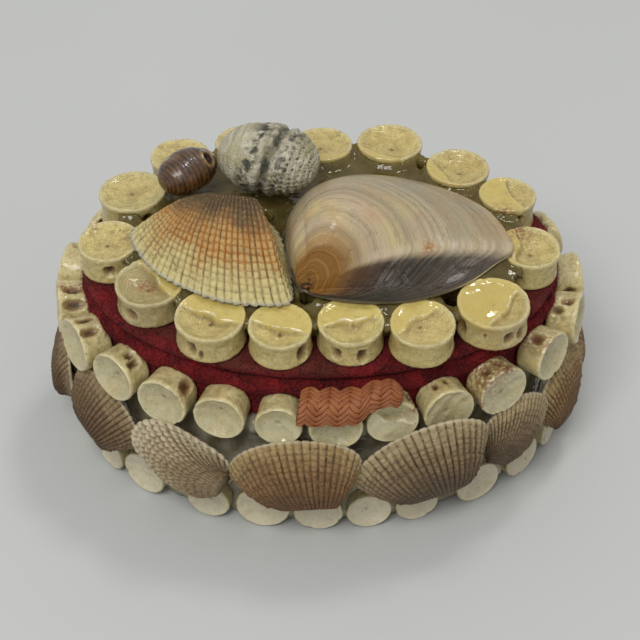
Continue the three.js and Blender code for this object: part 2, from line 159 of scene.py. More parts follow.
def wall_frame(turn, z, out):
    """A frame on the wall: X along it to the right, Y up, Z outwards."""
    angle = math.radians(turn)
    outward = np.array([math.cos(angle) / WALL["a"], math.sin(angle) / WALL["b"], 0])
    outward /= np.linalg.norm(outward)
    up = np.array([0, 0, 1.0])
    place = np.eye(4)
    place[:3, 0], place[:3, 1], place[:3, 2] = np.cross(up, outward), up, outward
    foot = np.array([WALL["a"] * math.cos(angle), WALL["b"] * math.sin(angle), z])
    place[:3, 3] = foot + out * outward
    return place


def even_turns(start, stop, count):
    """Angles that divide a stretch of the wall into steps of even length."""
    turns = np.linspace(start, stop, 800)
    side = np.hypot(WALL["a"] * np.sin(np.radians(turns)), WALL["b"] * np.cos(np.radians(turns)))
    walked = np.concatenate([[0], np.cumsum((side[1:] + side[:-1]) / 2)])
    return np.interp(np.linspace(0, walked[-1], count), walked, turns)


def closed_curve(corners, count):
    """Points evenly spaced round a smooth closed curve through the corners."""
    corners = np.array(corners, float)
    dense = []
    for i in range(len(corners)):
        before, start, stop, after = (corners[(i + k) % len(corners)] for k in (-1, 0, 1, 2))
        t0, t1, t2 = (math.sqrt(np.linalg.norm(b - a)) for a, b in
                      ((before, start), (start, stop), (stop, after)))
        leaving = ((start - before) / t0 - (stop - before) / (t0 + t1) + (stop - start) / t1) * t1
        coming = ((stop - start) / t1 - (after - start) / (t1 + t2) + (after - stop) / t2) * t1
        s = np.linspace(0, 1, 40, endpoint=False)[:, None]
        dense.append((2 * s**3 - 3 * s**2 + 1) * start + (s**3 - 2 * s**2 + s) * leaving
                     + (3 * s**2 - 2 * s**3) * stop + (s**3 - s**2) * coming)
    dense = np.concatenate(dense + [dense[0][:1]])
    walked = np.concatenate([[0], np.cumsum(np.linalg.norm(np.diff(dense, axis=0), axis=1))])
    at = np.linspace(0, walked[-1], count, endpoint=False)
    return np.stack([np.interp(at, walked, dense[:, k]) for k in (0, 1)], 1)


def ring_faces(rows, columns):
    """Quads between rings of equal count, the last point of a ring joined to its first."""
    at = np.arange(rows * columns).reshape(rows, columns)
    right = np.roll(at, -1, axis=1)
    return np.stack([at[:-1], at[1:], right[1:], right[:-1]], -1).reshape(-1, 4)


def skin(rings, facts):
    """A closed body through rings, shut by a fan at each end, with its facts for the materials."""
    rows, columns = rings.shape[:2]
    points = np.concatenate([rings.reshape(-1, 3), rings[:1].mean(1), rings[-1:].mean(1)])
    first, last = np.arange(columns), np.arange(columns) + (rows - 1) * columns
    low_end, high_end = rows * columns, rows * columns + 1
    fans = [np.stack([np.full(columns, low_end), first, np.roll(first, -1)], 1),
            np.stack([np.full(columns, high_end), np.roll(last, -1), last], 1)]
    spread = {name: np.broadcast_to(value, (rows, columns)) for name, value in facts.items()}
    facts = {name: np.concatenate([value.ravel(), [np.mean(value[0])], [np.mean(value[-1])]])
             for name, value in spread.items()}
    return points, [ring_faces(rows, columns), np.concatenate(fans)], facts


def outwards(points, faces):
    """Turns a closed body's faces the right way out."""
    volume = 0
    for group in faces:
        a, b, c = (points[group[:, k]] for k in (0, 1, 2))
        volume += np.einsum("ij,ij->", a, np.cross(b, c))
        if group.shape[1] == 4:
            d = points[group[:, 3]]
            volume += np.einsum("ij,ij->", a, np.cross(c, d))
    return faces if volume > 0 else [group[:, ::-1] for group in faces]


def make_piece(name, body, material=None):
    """A mesh object at the origin from a closed body's points, faces and facts."""
    points, faces, facts = body
    faces = outwards(points, faces)
    mesh = bpy.data.meshes.new(name)
    mesh.vertices.add(len(points))
    mesh.vertices.foreach_set("co", ((points + CENTRE) * MM).astype(np.float32).ravel())
    corners = np.concatenate([group.ravel() for group in faces])
    sizes = np.concatenate([np.full(len(group), group.shape[1]) for group in faces])
    mesh.loops.add(len(corners))
    mesh.loops.foreach_set("vertex_index", corners.astype(np.int32))
    mesh.polygons.add(len(sizes))
    starts = np.concatenate([[0], np.cumsum(sizes)[:-1]]).astype(np.int32)
    mesh.polygons.foreach_set("loop_start", starts)
    mesh.polygons.foreach_set("use_smooth", np.ones(len(sizes), bool))
    mesh.update(calc_edges=True)
    for fact, values in facts.items():
        mesh.attributes.new(fact, "FLOAT", "POINT").data.foreach_set(
            "value", np.asarray(values, np.float32))
    mesh.validate()
    piece = bpy.data.objects.new(name, mesh)
    bpy.context.scene.collection.objects.link(piece)
    if material:
        mesh.materials.append(material)
    return piece


def belongs(piece, slot, *nodes):
    """Rides on the one body and stands for its CAD nodes, which it hides; slot is not used."""
    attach(piece, "root")
    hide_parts(*nodes)


# ----------------------------------------------------------- material helpers
def colour(code):
    """Linear colour of an sRGB hex value."""
    parts = [int(code[i:i + 2], 16) / 255 for i in (1, 3, 5)]
    return [p / 12.92 if p <= 0.04045 else ((p + 0.055) / 1.055) ** 2.4 for p in parts] + [1]


def add(tree, kind, inputs=None, **settings):
    """Adds a node; an input is given a value or linked to another node's output."""
    node = tree.nodes.new(kind)
    for name, value in settings.items():
        setattr(node, name, value)
    for key, value in (inputs or {}).items():
        if isinstance(value, bpy.types.NodeSocket):
            tree.links.new(value, node.inputs[key])
        else:
            node.inputs[key].default_value = value
    return node


def surface(name, **plain):
    """An empty material: its tree, its shader with plain values, and millimetre coordinates."""
    material = bpy.data.materials.new(name)
    material.use_nodes = True
    tree = material.node_tree
    shader = tree.nodes["Principled BSDF"]
    for key, value in plain.items():
        shader.inputs[key.replace("_", " ")].default_value = value
    metres = add(tree, "ShaderNodeTexCoord").outputs["Object"]
    place = add(tree, "ShaderNodeVectorMath", {0: metres, 1: (1 / MM,) * 3}, operation="MULTIPLY")
    return material, tree, shader, place.outputs[0]


def fact(tree, name):
    return add(tree, "ShaderNodeAttribute", attribute_name=name).outputs["Fac"]


def cloud(tree, place, size, low, high, detail=2.0):
    """Irregular patches about size millimetres across, from 0 below low to 1 above high."""
    noise = add(tree, "ShaderNodeTexNoise", {"Vector": place, "Scale": 1 / size, "Detail": detail})
    return level(tree, noise.outputs[0], low, high)


def level(tree, value, low, high, to_low=0.0, to_high=1.0):
    """Stretches a value from the span low to high onto the span to_low to to_high."""
    spread = {"Value": value, "From Min": low, "From Max": high, "To Min": to_low, "To Max": to_high}
    return add(tree, "ShaderNodeMapRange", spread).outputs[0]


def maths(tree, operation, *values):
    return add(tree, "ShaderNodeMath", dict(enumerate(values)), operation=operation).outputs[0]


def times(tree, one, other):
    return maths(tree, "MULTIPLY", one, other)


def plus(tree, one, other):
    return maths(tree, "ADD", one, other)


def minus(tree, one, other):
    return maths(tree, "SUBTRACT", one, other)


def sine(tree, value):
    return maths(tree, "SINE", value)


def streaks(tree, detail, *facts):
    """Soft noise over a shell's own measures, each times how many streaks it has."""
    spot = add(tree, "ShaderNodeCombineXYZ", dict(enumerate(facts))).outputs[0]
    return add(tree, "ShaderNodeTexNoise", {"Vector": spot, "Scale": 1.0, "Detail": detail}).outputs[0]


def layered(tree, under, *coats):
    """Colours laid over one another: each coat is (how much, colour)."""
    for amount, tint in coats:
        tint = colour(tint) if isinstance(tint, str) else tint
        under = colour(under) if isinstance(under, str) else under
        node = add(tree, "ShaderNodeMix", {0: amount, 6: under, 7: tint}, data_type="RGBA")
        under = node.outputs[2]
    return under


def relief(tree, shader, *heights):
    """Fine relief from (height socket, millimetres)."""
    normal = None
    for height, depth in heights:
        inputs = {"Height": height, "Distance": depth * MM, "Strength": 1.0}
        if normal is not None:
            inputs["Normal"] = normal
        normal = add(tree, "ShaderNodeBump", inputs).outputs[0]
    tree.links.new(normal, shader.inputs["Normal"])


# ------------------------------------------------------------------ materials
def bone(name, face_tint, side_tint, core_tint, film_tint, rings, glaze):
    """Fish vertebra, cleaned and bleached: porous on its sides, with growth rings and a dark
    middle on its dished faces, and painted shade in its pits, brown to near black towards
    their bottom. Where glue lies on it, it is glossy and tinted by the film; along the film's
    edge a dark line at its foot is painted shade and a pale line on its lip a painted highlight."""
    material, tree, shader, place = surface(
        name, IOR=1.5, Subsurface_Weight=0.1, Subsurface_Scale=0.001, Coat_Weight=glaze,
        Coat_Roughness=0.07)
    shader.inputs["Subsurface Radius"].default_value = (1.0, 0.7, 0.4)
    face, pit_shade, glue = fact(tree, "face"), fact(tree, "pit_shade"), fact(tree, "glue")
    bare = minus(tree, 1.0, glue)
    patches = cloud(tree, place, 4.5, 0.35, 0.68)
    mottles = cloud(tree, place, 0.9, 0.45, 0.72, 4.0)
    pores = cloud(tree, place, 0.3, 0.66, 0.74, 1.0)
    specks = cloud(tree, place, 0.55, 0.73, 0.77, 1.0)
    wander = plus(tree, times(tree, patches, 0.5), fact(tree, "across"))
    wave = sine(tree, times(tree, wander, 2 * math.pi / rings))
    ring = times(tree, times(tree, level(tree, wave, 0.0, 1.0), face), bare)
    scratches = add(tree, "ShaderNodeTexVoronoi", {"Vector": place, "Scale": 1.1},
                    feature="DISTANCE_TO_EDGE").outputs["Distance"]
    hairline = times(tree, level(tree, scratches, 0.018, 0.0), cloud(tree, place, 3.0, 0.5, 0.62))
    stained = cloud(tree, place, 2.2, 0.5, 0.68, 5.0)
    tree.links.new(layered(
        tree, side_tint, (face, face_tint), (times(tree, patches, 0.4), "#D2C28A"),
        (times(tree, fact(tree, "tone"), 0.3), "#B0A274"), (times(tree, stained, 0.5), "#98804A"),
        (times(tree, face, level(tree, fact(tree, "across"), 3.2, 0.6, 0.0, 0.45)), core_tint),
        (times(tree, fact(tree, "warm"), patches), "#B89C58"), (times(tree, ring, 0.22), "#9A844E"),
        (times(tree, mottles, 0.4), "#94804E"), (times(tree, pores, 0.65), "#62492A"),
        (times(tree, fact(tree, "rim"), 0.35), "#DDD5AC"), (times(tree, hairline, 0.6), "#745E38"),
        # Film edge: a dark line at the foot of the film's step is painted shade; a pale broken line along
        # its lip is a painted highlight.
        (times(tree, glue, 0.7), film_tint), (times(tree, fact(tree, "seam"), 0.5), "#8A7440"),
        (times(tree, fact(tree, "meniscus_highlight"), cloud(tree, place, 2.5, 0.42, 0.6)), "#E6DFC0"),
        (times(tree, specks, 0.8), "#4A3A24"),
        # Pits and the eye in the face's middle: brown to near black towards their bottom, painted shade
        # for holes deeper than the mesh.
        (level(tree, pit_shade, 0.1, 0.5, 0.0, 0.85), "#8A6636"),
        (level(tree, pit_shade, 0.5, 0.95, 0.0, 0.85), "#3E2A14"),
        (times(tree, fact(tree, "rust"), cloud(tree, place, 0.9, 0.38, 0.55, 3.0)), "#7E4522"),
        (times(tree, fact(tree, "red"), cloud(tree, place, 0.6, 0.4, 0.6, 2.0)), "#84281A"),
    ), shader.inputs["Base Color"])
    dry = level(tree, mottles, 0, 1, 0.3, 0.5)
    tree.links.new(add(tree, "ShaderNodeMix", {0: glue, 2: dry, 3: 0.07}).outputs[0],
                   shader.inputs["Roughness"])
    grain = cloud(tree, place, 0.22, 0.3, 0.75, 3.0)
    relief(tree, shader, (times(tree, grain, bare), 0.08), (ring, 0.05),
           (times(tree, hairline, bare), -0.08), (times(tree, pores, bare), -0.1),
           (cloud(tree, place, 2.6, 0.2, 0.8, 1.0), 0.2))
    return material


def glue_material(name, deep, milky, clear):
    """Clear glue, poured and hardened: glossy, dark where one looks into it and milky where
    it is thin or full of fine bubbles, and see-through."""
    material, tree, shader, place = surface(
        name, Roughness=0.08, IOR=1.42, Transmission_Weight=clear)
    haze = cloud(tree, place, 3.5, 0.35, 0.7, 3.0)
    cloudy = times(tree, fact(tree, "milky"), level(tree, haze, 0, 1, 0.55, 1.0))
    tree.links.new(layered(tree, deep, (times(tree, haze, 0.35), "#9A8C5E"), (cloudy, milky)),
                   shader.inputs["Base Color"])
    relief(tree, shader, (cloud(tree, place, 2.4, 0.2, 0.8, 1.0), 0.25))
    return material


def velvet_material():
    """Cotton velvet: short crimson pile, brown and flat where glue has soaked it. Patches where the
    pile leans are painted brighter as sheen, tufts painted bright as highlights, creases painted
    darker as shade, and where deep is set, in the gap between lid and box, it is painted almost
    black as shade."""
    material, tree, shader, place = surface(
        "cotton_velvet", Roughness=0.8, Sheen_Weight=0.35, Sheen_Roughness=0.3,
        Specular_IOR_Level=0.25)
    shader.inputs["Sheen Tint"].default_value = colour("#C0505C")
    brushed_sheen = cloud(tree, place, 5.0, 0.4, 0.66, 3.0)
    lit_tufts = cloud(tree, place, 0.5, 0.38, 0.68, 3.0)
    shaded_creases = cloud(tree, place, 9.0, 0.5, 0.62, 4.0)
    tree.links.new(layered(
        # Painted light: brighter patches are sheen where the pile leans, bright tufts are highlights,
        # dark creases are shade, and deep is the shade in the gap between lid and box.
        tree, "#400608", (brushed_sheen, "#7C1416"), (times(tree, lit_tufts, 0.6), "#A8262A"),
        (times(tree, shaded_creases, 0.45), "#2C0508"),
        (times(tree, fact(tree, "soaked"), level(tree, lit_tufts, 0, 1, 0.5, 0.9)), "#5E3428"),
        (times(tree, fact(tree, "deep"), 0.9), "#1C0305")), shader.inputs["Base Color"])
    relief(tree, shader, (lit_tufts, 0.5), (brushed_sheen, 0.8), (shaded_creases, -0.9))
    return material


def braid_material():
    """Rayon braid, rust brown: smooth flat strands with four fine lengthwise threads each,
    darker along the strand's edges as painted shade, and a backing painted dark brown as the
    shade in the gaps between strands."""
    material, tree, shader, place = surface("rayon_braid", Roughness=0.42)
    threads = 4
    wave = sine(tree, times(tree, fact(tree, "thread"), 2 * math.pi * threads))
    wave = level(tree, wave, -1, 1)
    edges = level(tree, maths(tree, "ABSOLUTE", fact(tree, "thread")), 0.3, 0.46)
    shade = cloud(tree, place, 2.6, 0.35, 0.7, 3.0)
    tree.links.new(layered(
        # Strand edges are darkened as painted shade; the backing, deep, is painted dark brown as the
        # shade between strands.
        tree, "#98542A", (shade, "#AC6A3A"), (times(tree, wave, 0.45), "#6C3A1E"), (edges, "#4A2410"),
        (fact(tree, "deep"), "#3E1A0C")), shader.inputs["Base Color"])
    relief(tree, shader, (wave, 0.08), (cloud(tree, place, 0.3, 0.3, 0.7), 0.05))
    return material


def ark_material(name, umbo, band, crest, margin, groove, lip, pale, dull=0.6):
    """Ark shell, weathered: ribs crossed by growth lines, banded from beak to margin, with
    patches of dirt, and painted shade in the grooves between the ribs and between their knots.
    pale: how much the knots on the ribs take the margin's tint."""
    material, tree, shader, place = surface(name, IOR=1.45, Roughness=dull)
    rib, share, along = fact(tree, "rib"), fact(tree, "share"), fact(tree, "along")
    drift = plus(tree, times(tree, cloud(tree, place, 6.0, 0.3, 0.7), 0.14), share)
    lines = streaks(tree, 2.0, times(tree, drift, 26.0), times(tree, along, 2.0))
    rays = streaks(tree, 2.0, times(tree, share, 3.0), times(tree, along, 80.0))
    low = minus(tree, 1.0, level(tree, rib, 0.15, 0.8))
    knots = minus(tree, 1.0, level(tree, fact(tree, "bead"), 0.0, 0.6))
    grime = cloud(tree, place, 1.2, 0.45, 0.7, 4.0)
    tree.links.new(layered(
        tree, crest, (level(tree, drift, 0.82, 1.05), margin),
        (times(tree, times(tree, level(tree, drift, 0.46, 0.64), level(tree, drift, 1.0, 0.8)),
               level(tree, rays, 0.36, 0.56, 0.35, 1.0)), band),
        (level(tree, drift, 0.74, 0.54), umbo),
        (times(tree, level(tree, lines, 0.5, 0.64), 0.35), groove),
        (times(tree, level(tree, rays, 0.52, 0.36), 0.3), umbo),
        # Painted shade between the knots on the ribs.
        (times(tree, knots, 0.22), groove), (times(tree, grime, 0.45), groove),
        (times(tree, times(tree, times(tree, fact(tree, "bead"), level(tree, rib, 0.7, 1.0)),
                           level(tree, drift, 0.6, 0.95, 0.15, 1.0)), pale), margin),
        # Painted shade in the grooves between the ribs, varied by the dirt patches.
        (times(tree, low, level(tree, grime, 0, 1, 0.4, 0.8)), groove),
        (times(tree, cloud(tree, place, 0.5, 0.62, 0.72, 2.0), 0.5), margin),
        (fact(tree, "lip"), lip)), shader.inputs["Base Color"])
    relief(tree, shader, (cloud(tree, place, 0.25, 0.3, 0.75, 3.0), 0.12), (lines, 0.4), (rays, 0.2))
    return material


def clam_material():
    """Clam shell, polished by wear: fine growth lines from an orange brown beak over a cream
    dome to grey bands, and a pale broken line along the ridge, a painted highlight; slate,
    purple and grey green below the ridge, painted much darker as the shade of that steep side;
    a brown edge, pale at the tip."""
    material, tree, shader, place = surface(
        "clam_shell_polished", IOR=1.45, Coat_Weight=0.12, Coat_Roughness=0.08)
    share, below = fact(tree, "share"), fact(tree, "below")
    drift = plus(tree, times(tree, cloud(tree, place, 12.0, 0.2, 0.8, 0.0), 0.008), share)

    def lines(count, detail):
        return streaks(tree, detail, times(tree, drift, count), times(tree, below, 0.4))

    hair, fine, middling, broad = lines(300.0, 1.0), lines(120.0, 3.0), lines(38.0, 3.0), lines(9.0, 1.0)
    scuffs = cloud(tree, place, 2.5, 0.52, 0.66, 5.0)
    beak = level(tree, drift, 0.44, 0.3)
    upper = layered(
        tree, "#BBA688", (times(tree, cloud(tree, place, 11.0, 0.46, 0.62, 1.0), 0.8), "#C6B57E"),
        (level(tree, drift, 0.6, 0.8), "#A4987C"), (level(tree, drift, 0.86, 1.0), "#B6A27E"),
        (times(tree, level(tree, broad, 0.52, 0.62), 0.55), "#857C68"),
        (times(tree, level(tree, middling, 0.52, 0.66), 0.5), "#7A705C"),
        (times(tree, level(tree, middling, 0.46, 0.34), 0.35), "#CDBF98"),
        (times(tree, level(tree, fine, 0.52, 0.7), 0.5), "#84765E"),
        (times(tree, level(tree, hair, 0.52, 0.64), 0.55), "#786A54"),
        (times(tree, scuffs, 0.3), "#9C9276"),
        (times(tree, cloud(tree, place, 7.0, 0.5, 0.62, 2.0), 0.3), "#B08C60"),
        (beak, "#8A5E22"),
        (times(tree, beak, times(tree, level(tree, middling, 0.5, 0.64), 0.6)), "#AE8446"),
        (times(tree, beak, times(tree, level(tree, fine, 0.5, 0.34), 0.45)), "#6B4424"),
        (times(tree, level(tree, drift, 0.14, 0.06), cloud(tree, place, 0.8, 0.4, 0.52, 3.0)), "#2A1E14"))
    # Below the ridge: slate, purple and grey green, painted much darker as the shade of the steep side
    # that faces down.
    lower = layered(
        tree, "#24231C", (level(tree, drift, 0.7, 0.95), "#42352C"),
        (level(tree, below, 0.5, 0.9), "#322F20"),
        (times(tree, cloud(tree, place, 5.0, 0.45, 0.6, 2.0), 0.6), "#181A1A"),
        (times(tree, level(tree, broad, 0.5, 0.62), 0.5), "#3E2C22"),
        (times(tree, level(tree, middling, 0.52, 0.68), 0.5), "#463C2E"),
        (times(tree, level(tree, fine, 0.54, 0.7), 0.5), "#5A4E3C"),
        (times(tree, level(tree, hair, 0.55, 0.66), 0.5), "#665844"),
        (times(tree, level(tree, fine, 0.46, 0.32), 0.5), "#100E0C"),
        (level(tree, drift, 0.62, 0.42), "#553A22"), (level(tree, drift, 0.44, 0.3), "#7E5424"))
    # A pale line along the ridge, broken by the growth lines: a painted highlight.
    ridge_highlight = times(tree, fact(tree, "ridge_highlight"), level(tree, middling, 0.4, 0.6))
    tree.links.new(layered(
        # The steep side below the ridge, darkened as painted shade.
        tree, upper, (times(tree, level(tree, below, 0.0, 0.14), level(tree, drift, 0.18, 0.42)), lower),
        (times(tree, ridge_highlight, times(tree, level(tree, drift, 0.3, 0.5), 0.7)), "#C6B8A0"),
        (times(tree, fact(tree, "spot"), cloud(tree, place, 0.8, 0.38, 0.5)), "#9A6428"),
        (fact(tree, "lip"), "#5E5444"), (times(tree, fact(tree, "lip"), fact(tree, "tip")), "#D2C49C"),
        (times(tree, cloud(tree, place, 0.45, 0.72, 0.77), 0.6), "#4A4038"),
    ), shader.inputs["Base Color"])
    tree.links.new(level(tree, fine, 0.3, 0.7, 0.2, 0.34), shader.inputs["Roughness"])
    relief(tree, shader, (hair, 0.06), (fine, 0.14), (middling, 0.24), (broad, 0.3), (scuffs, -0.15))
    return material


def turban_material():
    """Turban shell, sea-worn: chalky grey cream, with black mottling in its grooves and pits, and its
    mouth under the ragged lip painted dark as shade.
    """
    material, tree, shader, place = surface("turban_shell_worn", IOR=1.5, Roughness=0.6, Coat_Weight=0.1)
    bands = streaks(tree, 3.0, times(tree, fact(tree, "share"), 24.0),
                    times(tree, fact(tree, "around"), 3.0))
    blotch = times(tree, cloud(tree, place, 1.7, 0.44, 0.56, 6.0), fact(tree, "dark"))
    dots = times(tree, cloud(tree, place, 0.8, 0.46, 0.54, 2.0), fact(tree, "speckled"))
    tree.links.new(layered(
        tree, "#B9B198", (cloud(tree, place, 3.5, 0.4, 0.65), "#D2CCB8"),
        (times(tree, level(tree, bands, 0.5, 0.62), 0.45), "#837C62"),
        (times(tree, cloud(tree, place, 6.0, 0.5, 0.66, 2.0), 0.5), "#9A905C"),
        (times(tree, cloud(tree, place, 0.45, 0.6, 0.7, 3.0), 0.7), "#5E5A4A"),
        # Darker along the step's seam, and in the mouth under the ragged lip, where it is painted shade.
        (times(tree, fact(tree, "groove"), 0.75), "#5A543F"),
        (blotch, "#3A3C34"), (dots, "#2F302C")), shader.inputs["Base Color"])
    relief(tree, shader, (cloud(tree, place, 0.6, 0.3, 0.7, 4.0), 0.3), (blotch, -0.15))
    return material


def winkle_material():
    """Winkle shell, polished: dark brown with paler spiral cords and a cream rim at the hole; inside the
    hole it is painted near black as shade.
    """
    material, tree, shader, place = surface("winkle_shell", IOR=1.52, Roughness=0.22, Coat_Weight=0.5)
    cord = times(tree, fact(tree, "cord"), cloud(tree, place, 1.6, 0.3, 0.6, 3.0))
    tree.links.new(layered(
        tree, "#40200E", (cloud(tree, place, 3.0, 0.42, 0.62), "#583A22"),
        (cloud(tree, place, 5.0, 0.5, 0.6), "#331C14"), (times(tree, cord, 0.35), "#8E6E34"),
        (times(tree, fact(tree, "rim"), cloud(tree, place, 1.3, 0.44, 0.54)), "#C0A06A"),
        # Inside the hole: painted near black as shade.
        (fact(tree, "shaded_hole"), "#0E0606")), shader.inputs["Base Color"])
    relief(tree, shader, (cloud(tree, place, 0.4, 0.3, 0.7, 3.0), 0.06))
    return material


# ------------------------------------------------------------- geometry trees
def growth_tree(name, inputs):
    """An empty geometry tree with named inputs; returns it and its group input node."""
    tree = bpy.data.node_groups.new(name, "GeometryNodeTree")
    tree.interface.new_socket("Geometry", in_out="INPUT", socket_type="NodeSocketGeometry")
    tree.interface.new_socket("Geometry", in_out="OUTPUT", socket_type="NodeSocketGeometry")
    for label, kind, value in inputs:
        socket = tree.interface.new_socket(label, in_out="INPUT", socket_type="NodeSocket" + kind)
        if value is not None:
            socket.default_value = value
    return tree, add(tree, "NodeGroupInput")


def close_tree(tree, geometry, group):
    """Ends a tree in Realize Instances and Set Material."""
    real = add(tree, "GeometryNodeRealizeInstances", {0: geometry}).outputs[0]
    painted = add(tree, "GeometryNodeSetMaterial", {
        "Geometry": real, "Material": group.outputs["Material"]})
    add(tree, "NodeGroupOutput", {0: painted.outputs[0]})
    return tree


def grown(piece, tree, **sizes):
    """Turns a piece into the plain mesh that a tree makes of it, with the inputs given."""
    modifier = piece.modifiers.new(tree.name, "NODES")
    modifier.node_group = tree
    for socket in tree.interface.items_tree:
        if socket.item_type == "SOCKET" and socket.in_out == "INPUT" and socket.name in sizes:
            modifier[socket.identifier] = sizes[socket.name]
    graph = bpy.context.evaluated_depsgraph_get()
    mesh = bpy.data.meshes.new_from_object(
        piece.evaluated_get(graph), preserve_all_data_layers=True, depsgraph=graph)
    piece.modifiers.clear()
    old, piece.data = piece.data, mesh
    bpy.data.meshes.remove(old)
    mesh.name = piece.name


def named(tree, name):
    source = add(tree, "GeometryNodeInputNamedAttribute", {"Name": name}, data_type="FLOAT")
    return source.outputs["Attribute"]


def stored(tree, geometry, name, value):
    inputs = {"Geometry": geometry, "Name": name, "Value": value}
    return add(tree, "GeometryNodeStoreNamedAttribute", inputs, data_type="FLOAT",
               domain="POINT").outputs[0]


def rib_tree():
    """Ribs that fan out from a valve's beak, knotted where growth lines cross them."""
    tree, group = growth_tree("shell_ribs", [
        ("Ribs", "Float", 27.0), ("Depth", "Float", 0.0004), ("Groove", "Float", 0.5),
        ("Knots", "Float", 12.0), ("Knot Depth", "Float", 0.4), ("Cut", "Float", 0.2),
        ("Steps", "Float", 0.0001), ("Seed", "Float", 0.0), ("Material", "Material", None)])
    take = group.outputs
    share, along, opened = named(tree, "share"), named(tree, "along"), named(tree, "open")
    wander = streaks(tree, 2.0, times(tree, along, 9.0), times(tree, share, 2.0), take["Seed"])
    turn = plus(tree, times(tree, along, take["Ribs"]), times(tree, wander, 0.5))
    side = maths(tree, "ABSOLUTE", sine(tree, times(tree, turn, math.pi)))
    rib = add(tree, "ShaderNodeMapRange", {"Value": side, "From Max": take["Groove"]},
              interpolation_type="SMOOTHSTEP").outputs[0]
    ripple = streaks(tree, 2.0, times(tree, along, 34.0), times(tree, share, 9.0), take["Seed"])
    line = plus(tree, times(tree, share, take["Knots"]), ripple)
    knot = sine(tree, times(tree, line, 2 * math.pi))
    bead = add(tree, "ShaderNodeMapRange", {"Value": knot, "From Min": -1.0, "From Max": take["Cut"]},
               interpolation_type="SMOOTHSTEP").outputs[0]
    stop = streaks(tree, 2.0, times(tree, share, 15.0), times(tree, along, 1.5), take["Seed"])
    sunk = times(tree, minus(tree, 1.0, bead), take["Knot Depth"])
    height = times(tree, rib, minus(tree, 1.0, sunk))
    outer = named(tree, "outer")
    fade = times(tree, times(tree, opened, outer), level(tree, share, 0.05, 0.75, 0.25, 1.0))
    height = times(tree, times(tree, minus(tree, height, 0.6), take["Depth"]), fade)
    stop = times(tree, times(tree, minus(tree, stop, 0.5), take["Steps"]), outer)
    offset = add(tree, "ShaderNodeVectorMath", {
        0: add(tree, "GeometryNodeInputNormal").outputs[0], "Scale": plus(tree, height, stop)},
        operation="SCALE").outputs[0]
    marked = stored(tree, take["Geometry"], "rib", rib)
    marked = stored(tree, marked, "bead", bead)
    shaped = add(tree, "GeometryNodeSetPosition", {"Geometry": marked, "Offset": offset}).outputs[0]
    return close_tree(tree, shaped, group)


def pile_tree():
    """Velvet pile: short leaning hairs over the faces that show, denser where pile is 1."""
    tree, group = growth_tree("velvet_pile", [
        ("Density", "Float", 6e6), ("Length", "Float", 0.0008), ("Width", "Float", 0.00009),
        ("Lean", "Float", 0.8), ("Seed", "Int", 3), ("Material", "Material", None)])
    take = group.outputs
    spots = add(tree, "GeometryNodeDistributePointsOnFaces", {
        "Mesh": take["Geometry"], "Density": times(tree, named(tree, "pile"), take["Density"]),
        "Seed": take["Seed"]})
    hair = add(tree, "GeometryNodeMeshCone", {
        "Vertices": 3, "Radius Top": 0.0, "Radius Bottom": times(tree, take["Width"], 0.5),
        "Depth": take["Length"]}, fill_type="NONE")
    tilt = add(tree, "FunctionNodeRandomValue", {
        0: (-1, -1, 0), 1: (1, 1, 0), "Seed": take["Seed"]}, data_type="FLOAT_VECTOR").outputs[0]
    leaning = add(tree, "ShaderNodeVectorMath", {
        0: spots.outputs["Normal"], 1: add(tree, "ShaderNodeVectorMath", {
            0: tilt, "Scale": take["Lean"]}, operation="SCALE").outputs[0]}, operation="ADD").outputs[0]
    facing = add(tree, "FunctionNodeAlignRotationToVector", {"Vector": leaning}, axis="Z").outputs[0]
    size = add(tree, "FunctionNodeRandomValue", {2: 0.5, 3: 1.3, "Seed": take["Seed"]}, data_type="FLOAT")
    hairs = add(tree, "GeometryNodeInstanceOnPoints", {
        "Points": spots.outputs["Points"], "Instance": hair.outputs["Mesh"], "Rotation": facing,
        "Scale": size.outputs[1]}).outputs[0]
    both = add(tree, "GeometryNodeJoinGeometry")
    tree.links.new(hairs, both.inputs[0])
    tree.links.new(take["Geometry"], both.inputs[0])
    return close_tree(tree, both.outputs[0], group)


